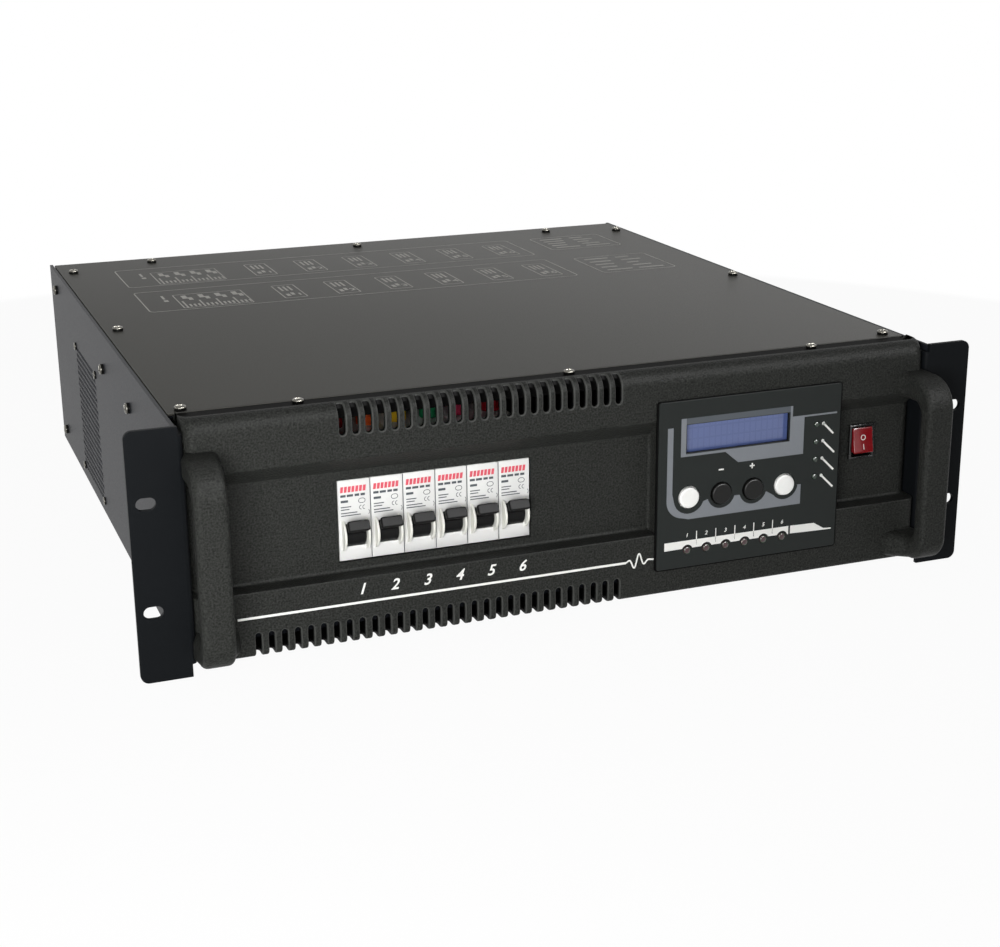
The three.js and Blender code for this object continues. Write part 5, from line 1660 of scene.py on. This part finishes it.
    def lamps(self) -> None:
        """Builds the lamps: short cylinders with domed ends."""
        red, green = Skin(), Skin()
        dome = arc((0, 0), self.channel_radius, -90, 0, 6) * (1, 0.55) + (0, -1.2)
        large = np.concatenate([dome, [(self.channel_radius, 9.0), (0, 9.0)]])
        small = np.concatenate([dome * (self.status_share, 1), [(self.status_radius, 9.0), (0, 9.0)]])
        for n in range(CHANNELS):
            red.turned(large, (self.channel(n), self.back, self.channel_row), "y", 24)
        for z in self.status_rows:
            green.turned(small, (self.status_x, self.back, z), "y", 24)
        red.built("channel_lamps", [Paint.LAMP_RED])
        green.built("status_lamps", [Paint.LAMP_GREEN])

    def build(self) -> None:
        """Builds and dresses the panel."""
        self.plate()
        self.print_work()
        self.display()
        self.button_caps()
        self.lamps()
        self.soften("display_frame", Paint.MATT, "display_steel", 0.3)
        self.soften("control_board", Paint.BOARD, "board", 0.15)


@dataclass
class MainsSwitch(Assembly):
    """The rocker switch: a bezel with a hollow body and a red rocker with plain marks."""

    x: float = 178.8
    z: float = 76.8
    pivot: float = 14.31
    half: float = 7.4
    width: float = 12.6
    rest: float = -9.0
    edge: float = 0.5

    def face(self, up: np.ndarray, lift: float = 0.0) -> np.ndarray:
        """Depth of the face: two slopes that meet in a shallow V, blended by a smooth root."""
        slope = 0.5 * math.tan(math.radians(-self.rest))
        return -(7.0 + lift + slope * (np.sqrt(up**2 + 0.8) - 0.9))

    def tipped(self, points: np.ndarray) -> np.ndarray:
        """Turns points about the pivot into the rest position and puts them in place."""
        return turned_about(points, self.rest) + (self.x, self.pivot, self.z)

    def rocker(self) -> None:
        """Builds the rocker and its marks.

        The rocker's outline is carried across the width and drawn in near both sides to round its
        edges.
        """
        up = np.linspace(-self.half, self.half, 25)
        face = self.face(up)
        face[[0, -1]] += 0.55
        face[[1, -2]] += 0.12
        back = [(-3.5, 6.4), (1.0, 1.0), (1.0, -1.0), (-3.5, -6.4)]
        outline = np.concatenate([np.stack([face, up], axis=1), back])
        share = np.array([0.0, 0.35, 0.75, 1.0])
        side = self.width / 2 - self.edge * share**2
        inset = (1 - share) ** 2 * self.edge
        rings = []
        for x, drawn in zip(np.concatenate([-side, side[::-1]]), np.concatenate([inset, inset[::-1]])):
            scale = np.clip(1 - drawn / np.maximum(np.abs(outline), 2.0), 0, 1)
            rings.append(np.insert(outline * scale, 0, x, axis=1))
        skin = Skin()
        skin.loft(self.tipped(np.array(rings)))
        skin.built("rocker_paddle", [Paint.RED], "red_plastic", "rocker", "rocker", 45)
        marks = Skin()
        circle, circle_faces = strip(ring(0, 1.6, 1.6, 28), ring(0, 1.6, 1.2, 28))
        bar = np.array([(-0.25, -5.4), (0.25, -5.4), (0.25, -2.2), (-0.25, -2.2)])
        for shape, faces in ((circle, circle_faces[:, ::-1]), (bar, [[3, 2, 1, 0]])):
            depth = self.face(shape[:, 1], PRINT_GAP)
            marks.add(self.tipped(np.column_stack([shape[:, 0], depth, shape[:, 1]])), faces)
        marks.built("rocker_marks", [Paint.INK], body="rocker", outward=False)

    def build(self) -> None:
        """Builds and dresses the switch."""
        self.soften("rocker_housing", Paint.BLACK, "black_plastic", 0.5, 3)
        self.rocker()


@dataclass
class Breakers(Assembly):
    """Six circuit breakers with printed noses, cheeks and toggles, on their rail."""

    face: float = 12.0
    axis_y: float = 15.4
    axis_z: float = 60.395
    rest: float = -33.0
    section_along: Row = (0.0, 5.0, 7.0, 9.0, 10.5, 12.0, 13.4, 14.1, 14.5)
    section_deep: Row = (5.0, 5.0, 4.6, 4.5, 4.9, 5.6, 5.9, 5.5, 4.3)
    section_wide: Row = (10.4, 10.4, 10.2, 10.3, 10.8, 11.5, 11.8, 11.4, 10.4)
    cheek_radius: float = 8.75
    cheek_sides: tuple[Flat, Flat] = ((-7.05, -5.7), (5.7, 7.05))
    strokes: int = 7
    bars: tuple[Row, ...] = (
        (-7.3, -4.4, 81.4, 1.3), (-3.8, -0.4, 81.4, 1.3), (0.4, 2.9, 81.4, 1.3), (3.6, 6.0, 81.4, 1.3),
        (-7.2, -3.2, 78.4, 1.3), (-7.2, -1.6, 75.7, 0.55), (-7.2, -2.6, 74.3, 0.55),
        (-7.2, 1.6, 72.4, 0.55), (-7.2, 3.4, 71.0, 0.55),
    )

    def toggle(self, x: float, name: str) -> None:
        """Builds a toggle: a drum and a lever that waists and then widens to a flat tip.

        The lever's sections are rounded rectangles carried from the axis to the tip; the drum's
        outline is a circle carried across the width.

        Args:
            x: its middle.
            name: the node that it stands for.
        """
        along, deep, wide = (
            np.array(part)[:, None] for part in (self.section_along, self.section_deep, self.section_wide)
        )
        across, up = rounded(-0.5, 0.5, -0.5, 0.5, 0.14, 4).T
        rings = np.stack([across * wide, -along + 0 * across, up * deep], axis=-1)
        centre = (x, self.axis_y, self.axis_z)
        skin = Skin()
        skin.loft(turned_about(rings, self.rest) + centre)
        ends = arc((6.1, -4.8), 0.5, -90, 0, 3)
        skin.turned(np.concatenate([[(0, -5.3)], ends, ends[::-1] * (1, -1), [(0, 5.3)]]), centre, "x", 40)
        skin.built(f"{name}_lever", [Paint.TOGGLE], "black_plastic", name, name, 50)

    def cheeks(self) -> None:
        """Builds the pairs of round cheeks beside the toggles, as turned discs with rounded rims."""
        skin = Skin()
        radius, edge = self.cheek_radius, 0.35
        for n in range(CHANNELS):
            for start, end in self.cheek_sides:
                profile = np.concatenate([
                    [(0, start)], arc((radius, start + edge), edge, -90, 0, 3),
                    arc((radius, end - edge), edge, 0, 90, 3), [(0, end)],
                ])
                x = BREAKER_FIRST + BREAKER_PITCH * n
                skin.turned(profile, (x, self.axis_y, self.axis_z), "x", 56)
        skin.built("breaker_cheeks", [Paint.CHEEK], "white_plastic")

    def labels(self) -> None:
        """Prints generic label bars on each nose, and dark lines over the seams between neighbours that paint
        the shade in those gaps.
        """
        marks = Print(self.face)
        slant = np.array([(0, 83.9), (1.5, 83.9), (1.9, 87.1), (0.4, 87.1)])
        for n in range(CHANNELS):
            x = BREAKER_FIRST + BREAKER_PITCH * n
            for index in range(self.strokes):
                marks.shape(slant + (x - 7.4 + index * 2.03, 0), 1)
            for left, right, z, height in self.bars:
                marks.bar(x + left, x + right, z, z + height)
            marks.frame(x + 2.2, x + 6.2, 77.3, 80.1, 0.35, 1.2)
            for middle in (3.3, 5.1):
                marks.line(arc((x + middle + 0.6, 75.0), 1.1, 90, 270, 8), 0.35)
            marks.line(arc((x + 6.6, 72.0), 1.6, -50, 50, 6), 0.3)
            # A dark line over the gap to the left neighbour: painted shade in the seam.
            if n:
                seam = x - BREAKER_PITCH / 2
                marks.bar(seam - 0.16, seam + 0.16, 47.0, 90.4)
        marks.built("breaker_labels", [Paint.DARK_INK, Paint.RED_INK])

    def build(self) -> None:
        """Builds and dresses the breakers and their rail."""
        for n in range(CHANNELS):
            self.soften(f"breaker_{n + 1}", Paint.CASE, "white_plastic", 0.3)
            self.toggle(BREAKER_FIRST + BREAKER_PITCH * n, f"breaker_toggle_{n + 1}")
        self.cheeks()
        self.labels()
        self.soften("breaker_rail", Paint.ZINC, "zinc_steel", 0.2)


@dataclass
class Cooling(Assembly):
    """The fan behind the grille and the heat sink in its air path."""

    y: float = 300.8
    z: float = 55.0
    front: float = -210.7
    back: float = -194.0
    shaft_end: float = -189.9
    shaft_radius: float = 2.9
    hub: float = 19.0
    tip: float = 42.5
    blades: int = 7
    sweep: float = 16.0
    thickness: float = 0.8
    camber: float = 1.6

    def rotor(self) -> None:
        """Builds the rotor.

        A blade is carried from root to tip; its section is a thin curved strip whose pitch falls
        with the radius, and it is swept forward in proportion to the way out.
        """
        skin = Skin()
        centre = (0.0, self.y, self.z)
        rim = arc((self.hub - 1.5, self.front + 1.5), 1.5, -90, 0, 5)
        hub = [[(0, self.front)], rim, [(self.hub, self.back), (0, self.back)]]
        skin.turned(np.concatenate(hub), centre, "x", 48)
        start, end, radius = self.back - 0.5, self.shaft_end, self.shaft_radius
        skin.turned(np.array([(0, start), (radius, start), (radius, end), (0, end)]), centre, "x", 24)
        out = np.linspace(0, 1, 12)[:, None]
        radius = self.hub - 1.0 + (self.tip - self.hub + 1.0) * out
        pitch = np.radians(52 - 24 * out)
        half = (self.back - self.front) / 2 - 1.0
        along = np.concatenate([np.linspace(-1, 1, 9), np.linspace(1, -1, 9)])
        face = np.repeat([1.0, -1.0], 9) * self.thickness * np.sqrt(np.clip(1 - np.abs(along) ** 3, 0.04, 1))
        bow = self.camber * (1 - along**2)
        around = (along * half / np.tan(pitch) + bow + face / np.sin(pitch)) / radius
        x = np.broadcast_to((self.front + self.back) / 2 + along * half, around.shape)
        for index in range(self.blades):
            angle = around + math.radians(self.sweep) * out + 2 * math.pi * index / self.blades
            y, z = self.y - radius * np.sin(angle), self.z + radius * np.cos(angle)
            skin.loft(np.stack([x, y, z], axis=-1))
        skin.built("fan_blades", [Paint.MATT], "fan_plastic", "fan_rotor", "fan_rotor")

    def build(self) -> None:
        """Builds and dresses the fan and the heat sink."""
        self.rotor()
        self.soften("fan_frame", Paint.MATT, "fan_plastic", 0.3)
        self.soften("heat_sink", Paint.ALLOY, "alloy", 0.15)


@dataclass
class Electronics(Assembly):
    """What stands inside: chokes, boards, transformer and the supply wires."""

    choke_first: float = -174.0
    choke_pitch: float = 58.01
    choke_row: float = 214.0
    choke_level: float = 20.0
    choke_radius: float = 19.0
    tube_width: float = 7.7
    tube_height: float = 12.6
    turns: int = 28
    wires: tuple[Paint, ...] = (
        Paint.WIRE_RED, Paint.WIRE_ORANGE, Paint.WIRE_YELLOW, Paint.WIRE_GREEN, Paint.WIRE_PINK,
        Paint.WIRE_RED,
    )
    wire_start: Flat = (47.5, 108.96)
    wire_level: float = 114.55
    wire_bend: float = 4.66
    wire_radius: float = 2.2

    def choke(self, index: int) -> None:
        """Builds a ring choke: a torus whose tube swells at each turn of its winding.

        Args:
            index: its place in the row.
        """
        around = np.linspace(0, 2 * math.pi, 6 * self.turns, endpoint=False)[:, None]
        tube = np.linspace(0, 2 * math.pi, 16, endpoint=False)
        size = 1 + 0.05 * np.cos(self.turns * around)
        size = size * (1 - 0.12 * np.clip((np.cos(around) - 0.93) / 0.07, 0, 1))
        flat, lift = (np.sign(wave) * np.abs(wave) ** 0.75 for wave in (np.cos(tube), np.sin(tube)))
        radius = self.choke_radius + self.tube_width * size * flat
        x = self.choke_first + self.choke_pitch * index + radius * np.cos(around)
        y = self.choke_row + radius * np.sin(around)
        skin = Skin()
        skin.loft(np.stack([x, y, self.choke_level + self.tube_height * size * lift], axis=-1), closed=True)
        name = f"choke_{index + 1}"
        skin.built(f"{name}_winding", [Paint.COPPER], "core", name, angle=60)

    def wire(self, index: int, paint: Paint) -> None:
        """Builds a wire that rises from a breaker, runs back and comes down into its socket.

        Args:
            index: the breaker's number, from nought.
            paint: its colour.
        """
        x = BREAKER_FIRST + BREAKER_PITCH * index
        (y, low), level, bend = self.wire_start, self.wire_level, self.wire_bend
        path = np.concatenate([
            [(y, low)], arc((y + bend, level - bend), bend, 180, 90, 8), [(75.0, level + 0.6)],
            arc((93.0, level - 16), 16.0, 90, 0, 10), [(109.0, 60.0), (109.0, 37.95)],
        ])
        skin = Skin()
        skin.tube(np.insert(path, 0, x, axis=1), self.wire_radius)
        foot, crown = arc((4.2, 109.9), 0.8, -90, 0, 3), arc((3.4, 115.2), 1.6, 0, 80, 5)
        boot = np.concatenate([[(0.0, low)], foot, crown, [(0.0, 116.8)]])
        skin.turned(boot, (x, y, 0.0), "z", 24)
        name = f"supply_wire_{index + 1}"
        skin.built(f"{name}_cover", [paint], paint.name.lower(), name)

    def build(self) -> None:
        """Builds and dresses what stands inside."""
        for index, paint in enumerate(self.wires):
            self.choke(index)
            self.wire(index, paint)
        self.soften("power_board", Paint.BOARD, "board", 0.15)
        self.soften("transformer", Paint.SHEETS, "laminations", 0.4)


@dataclass
class RearConnections(Assembly):
    """Terminal strips, signal connectors and the cable gland on the rear."""

    face: float = 442.8
    strip_face: float = 454.3
    gland: Flat = (-150.0, 92.0)
    gland_ribs: int = 24
    hexagon: float = 15.0
    level: float = 88.0
    flange: float = 2.5
    barrel_end: float = 422.6
    pin_ring: float = 5.5

    def strips(self) -> None:
        """Dresses the strips and puts two screws in each pole."""
        self.soften("mains_terminals", Paint.STRIP, "strip_plastic", 0.25)
        self.soften("output_terminals", Paint.STRIP, "strip_plastic", 0.25)
        skin = Skin()
        for left, poles, pitch in ((-176.0, 5, 13.0), (-88.0, 18, 11.0)):
            for n in range(poles):
                for z in (34.0, 46.0):
                    skin.screw((left + (n + 0.5) * pitch, self.strip_face, z), "y", 1, 3.0, 1.4)
        # The second finish paints shade on the heads' rims.
        skin.built("terminal_screws", [Paint.SCREW, Paint.SHADE], "zinc_steel", angle=30)

    def gland_nut(self) -> None:
        """Builds the gland: a hexagon on the panel and a ribbed domed nut round an open bore."""
        skin = Skin()
        x, z = self.gland
        dome, waist = arc((10.0, 460.3), 2.5, 0, 80, 6), [(11.9, 433.0), (11.9, 453.0), (12.5, 453.2)]
        nut = np.concatenate([dome, [(8.0, 462.8), (8.0, 433.0)], waist])
        steps = 72
        angle = np.linspace(0, 2 * math.pi, steps, endpoint=False)
        ribs = 1 - 0.018 * (np.cos(self.gland_ribs * angle) > 0.2)
        radius, along = nut[:, :1], nut[:, 1:]
        radius = radius * np.where((radius > 12.2) & (along < 460.5), ribs, 1.0)
        along = np.repeat(along, steps, axis=1)
        rings = np.stack([x + radius * np.cos(angle), along, z + radius * np.sin(angle)], axis=-1)
        skin.loft(rings, closed=True)
        corners = arc((x, z), self.hexagon, 0, 300, 5)
        hexagon = filleted([(a, b, 1.2) for a, b in corners], 4, closed=True)
        skin.plate([hexagon, ring(x, z, 9.4, 40)], self.face, 452.4, 0.4)
        skin.built("cable_gland_nut", [Paint.MATT], "black_plastic", "cable_gland")

    def connector(self, name: str, x: float, pins: bool) -> None:
        """Builds a signal connector: a rounded flange with two screws and a barrel through the panel.

        Args:
            name: the node that it stands for.
            x: its middle.
            pins: whether it has three pins in an open barrel, or else three holes in a closed one.
        """
        skin = Skin()
        z, face, end = self.level, self.face, self.barrel_end
        outline = rounded(x - 13, x + 13, z - 15.5, z + 15.5, 3.0)
        poles = [arc((x, z), self.pin_ring, angle, angle, 0)[0] for angle in (90, 210, 330)]
        if pins:
            skin.plate([outline, ring(x, z, 9.7, 48)], face, face + self.flange, 0.3)
            barrel = [(9.6, 432.0), (9.6, 443.2), (11.5, 443.2), (11.5, end), (0.0, end), (0.0, 432.0)]
            pin = np.concatenate([[(0, 442.8)], arc((0.2, 441.8), 1.0, 90, 0, 4), [(1.2, 431.5), (0, 431.5)]])
            skin.turned(np.array(barrel), (x, 0.0, z), "y", 48)
            for a, b in poles:
                skin.turned(pin, (a, 0.0, b), "y", 20, 1)
        else:
            holes = [ring(a, b, 1.5, 20) for a, b in poles]
            skin.plate([outline, *holes], face, face + self.flange, 0.3)
            skin.plate([ring(x, z, 11.5, 48), *holes], 432.4, face + 0.2, 0.1)
            plug = [(0.0, end), (11.3, end), (11.3, 432.7), (0.0, 432.7)]
            skin.turned(np.array(plug), (x, 0.0, z), "y", 48)
        for a, b in ((-9.6, -12.0), (9.6, 12.0)):
            skin.screw((x + a, face + self.flange, z + b), "y", 1, 2.2, 1.0, 1, 1)
        paint, slot = (Paint.STEEL, "zinc_steel") if pins else (Paint.MATT, "black_plastic")
        skin.built(f"{name}_shell", [paint, Paint.SCREW], slot, name)

    def build(self) -> None:
        """Builds and dresses the rear connections."""
        self.strips()
        self.gland_nut()
        self.connector("signal_input", 140.0, True)
        self.connector("signal_output", 180.0, False)


@dataclass
class PrintedMarks:
    """Generic marks on the fascia and on the cover."""

    rule: Row = (-190.6, 26.4, 26.45, 27.75)
    digit_first: float = -124.6
    digit_pitch: float = 17.9
    cover_level: float = 131.9
    thin: float = 0.8
    rows: tuple[Row, ...] = (
        (-179.2, 113.0, 343.0, 405.0, 350.0), (-179.8, 111.8, 262.5, 325.5, 270.5),
    )
    block: float = -157.5
    outlet_first: float = -83.3
    outlet_pitch: float = 35.85
    notes: tuple[Flat, Flat] = ((355.0, 403.5), (264.0, 320.0))

    def fascia(self) -> None:
        """Prints the rule on the plinth, its wave and the six digits."""
        marks = Print(0.0)
        marks.bar(*self.rule)
        share = np.linspace(0, 1, 60)
        swell = 4.6 * np.exp(-(((share - 0.42) / 0.26) ** 2))
        wave = 27.1 + np.sin(share * 2 * math.pi * 2.6) * swell
        marks.line(np.stack([26.2 + share * 17.0, wave], axis=1), 0.9)
        for n in range(CHANNELS):
            marks.sign(str(n + 1), self.digit_first + self.digit_pitch * n, 34.2, 6.0, 0.32)
        marks.built("fascia_print", [Paint.INK])

    def outlet_row(self, marks: Print, low: float) -> None:
        """Prints a row of six numbered boxes with the box of the mains left of them.

        Args:
            marks: the cover's print.
            low: where the boxes start.
        """
        high = low + 41.5
        for number in range(CHANNELS):
            x = self.outlet_first + self.outlet_pitch * number
            marks.frame(x - 7.7, x + 7.7, low, high, self.thin, 1.0)
            for stroke in (-4.3, -1.2, 1.9):
                marks.bar(x + stroke, x + stroke + 1.5, high - 19.0, high - 5.0)
            marks.bar(x - 4.5, x - 2.0, low + 6.0, low + 13.0)
            marks.bar(x - 0.9, x + 1.4, low + 9.0, low + 16.0)
            marks.sign(str(number + 1), x + 4.4, low + 9.5, 6.5)
        marks.frame(self.block, self.block + 45.5, low - 3.5, high - 3.0, self.thin, 0.8)
        for cell in range(4):
            x = self.block + 2.6 + 11.0 * cell
            marks.bar(x + 2.2, x + 5.6, high - 17.0, high - 7.0)
            marks.bar(x + 5.6, x + 8.4, high - 22.0, high - 14.0)
            marks.bar(x - 0.2, x + 0.9, low - 3.0, high - 24.0)
            for tick in (2.4, 5.2, 8.0):
                marks.bar(x + tick, x + tick + 1.4, low - 0.5, low + 7.0)
        marks.bar(-165.4, -162.6, high - 22.0, high - 17.0)
        marks.bar(-165.0, -163.4, high - 14.0, high - 3.0)

    def cover(self) -> None:
        """Prints two rows of boxes for the outputs and two plain boxes at the right."""
        marks = Print(self.cover_level, "top")
        for left, right, front, rear, low in self.rows:
            marks.frame(left, right, front, rear, self.thin, 3.0)
            self.outlet_row(marks, low)
        for front, rear in self.notes:
            marks.frame(131.0, 186.5, front, rear, self.thin, 3.0)
            for line in range(5):
                level = front + 8 + line * (rear - front - 16) / 4
                marks.bar(137.0, 156.0 - line * 7 % 9, level - 1.3, level + 1.3)
                marks.bar(161.0, 180.0 - line * 5 % 11, level - 1.3, level + 1.3)
        marks.built("cover_print", [Paint.PALE_INK])

    def build(self) -> None:
        """Prints all marks."""
        self.fascia()
        self.cover()


@dataclass(frozen=True)
class AreaLamp:
    """A soft lamp that points at the pack's middle: place and size in metres, power in watts."""

    name: str
    place: Place
    size: Flat
    power: float
    gloss_only: bool = False

    def build(self) -> None:
        """Adds the lamp."""
        data = bpy.data.lights.new(self.name, "AREA")
        data.energy, data.shape = self.power, "RECTANGLE"
        data.size, data.size_y = self.size
        lamp = linked(self.name, data)
        aim = Vector((0.0, 0.0, 0.06)) - Vector(self.place)
        turn = aim.to_track_quat("-Z", "Y").to_matrix().to_4x4()
        lamp.matrix_world = Matrix.Translation(self.place) @ turn
        lamp.visible_diffuse = not self.gloss_only


@dataclass
class Studio:
    """Floor, soft light and the camera."""

    eye: Place = (-0.3629, -1.0467, 0.3744)
    yaw: float = 20.83
    pitch: float = 17.78
    roll: float = -0.55
    lens: float = 63.91
    sensor: float = 36.0
    lamps: tuple[AreaLamp, ...] = (
        AreaLamp("key", (-0.45, -0.87, 0.2), (0.4, 0.4), 7.2),
        AreaLamp("top", (-0.3, -0.1, 1.5), (1.0, 1.0), 1.0),
        AreaLamp("edge", (0.55, -1.21, 1.07), (1.3, 0.25), 52.0, True),
    )
    soft_strength: float = 0.14
    floor_half: float = 8.0
    floor_tone: float = 0.9
    white_share: float = 0.95
    white_from: float = 0.35
    white_rise: float = 2.2

    def camera(self) -> None:
        """Sets the camera: its forward axis comes from yaw and pitch, and roll turns the others about it."""
        yaw, pitch, roll = (math.radians(item) for item in (self.yaw, self.pitch, self.roll))
        forward = Vector((math.sin(yaw) * math.cos(pitch), math.cos(yaw) * math.cos(pitch), -math.sin(pitch)))
        right = Vector((math.cos(yaw), -math.sin(yaw), 0.0))
        up = right.cross(forward)
        side = right * math.cos(roll) + up * math.sin(roll)
        top = up * math.cos(roll) - right * math.sin(roll)
        data = bpy.data.cameras.new("camera")
        data.lens, data.sensor_width = self.lens, self.sensor
        data.clip_start, data.clip_end = 0.05, 50.0
        camera = linked("camera", data)
        turn = Matrix((side, top, -forward)).transposed().to_4x4()
        camera.matrix_world = Matrix.Translation(self.eye) @ turn
        bpy.context.scene.camera = camera

    def world(self) -> None:
        """Lights the scene evenly and shows white to the camera, to gloss and to clear pieces."""
        recipe = Recipe(bpy.data.worlds.new("studio"))
        bpy.context.scene.world = recipe.owner
        soft = recipe.value("ShaderNodeBackground", {0: OPAQUE_WHITE, 1: self.soft_strength})
        white = recipe.value("ShaderNodeBackground", {0: OPAQUE_WHITE, 1: 1.0})
        mixed = recipe.value("ShaderNodeMixShader", {0: recipe.seen(), 1: soft, 2: white})
        recipe.node("ShaderNodeOutputWorld", {0: mixed})

    def floor(self) -> None:
        """Lays a wide pale floor that keeps the shadow near the pack and shows white further off."""
        recipe = Recipe(bpy.data.materials.new("floor_pale"))
        x, y, _ = recipe.axes(recipe.place())
        squares = x * x + y * y
        away = squares.apply("SQRT", squares) * MILLIMETRE
        rise = away.apply("MAXIMUM", (away - self.white_from) * self.white_rise, self.white_share)
        pale = recipe.value("ShaderNodeBsdfDiffuse", {"Color": (self.floor_tone,) * 3 + (1.0,)})
        white = recipe.value("ShaderNodeEmission", {"Color": OPAQUE_WHITE, "Strength": 1.0})
        share = rise.apply("MINIMUM", rise, 1.0) * recipe.seen()
        material = recipe.surface(recipe.value("ShaderNodeMixShader", {0: share, 1: pale, 2: white}))
        half = self.floor_half
        mesh = bpy.data.meshes.new("floor")
        corners = [(-half, -half, 0), (half, -half, 0), (half, half, 0), (-half, half, 0)]
        mesh.from_pydata(corners, [], [[0, 1, 2, 3]])
        mesh.materials.append(material)
        floor = linked("floor", mesh)

    def build(self) -> None:
        """Sets up the studio."""
        self.camera()
        for lamp in self.lamps:
            lamp.build()
        self.world()
        self.floor()
        bpy.context.scene.view_settings.view_transform = "Standard"


def main() -> None:
    """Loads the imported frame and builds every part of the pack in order."""
    logging.basicConfig(level=logging.INFO, format="%(name)s: %(message)s")
    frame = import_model()
    nodes = frame["nodes"]
    for assembly in (
        Studio(), Fascia(), Handles(), Ears(), SheetBody(nodes), ControlPanel(nodes), MainsSwitch(nodes),
        Breakers(nodes), Cooling(nodes), Electronics(nodes), RearConnections(nodes), PrintedMarks(),
    ):
        assembly.build()
    bpy.context.view_layer.update()


if __name__ == "__main__":
    main()
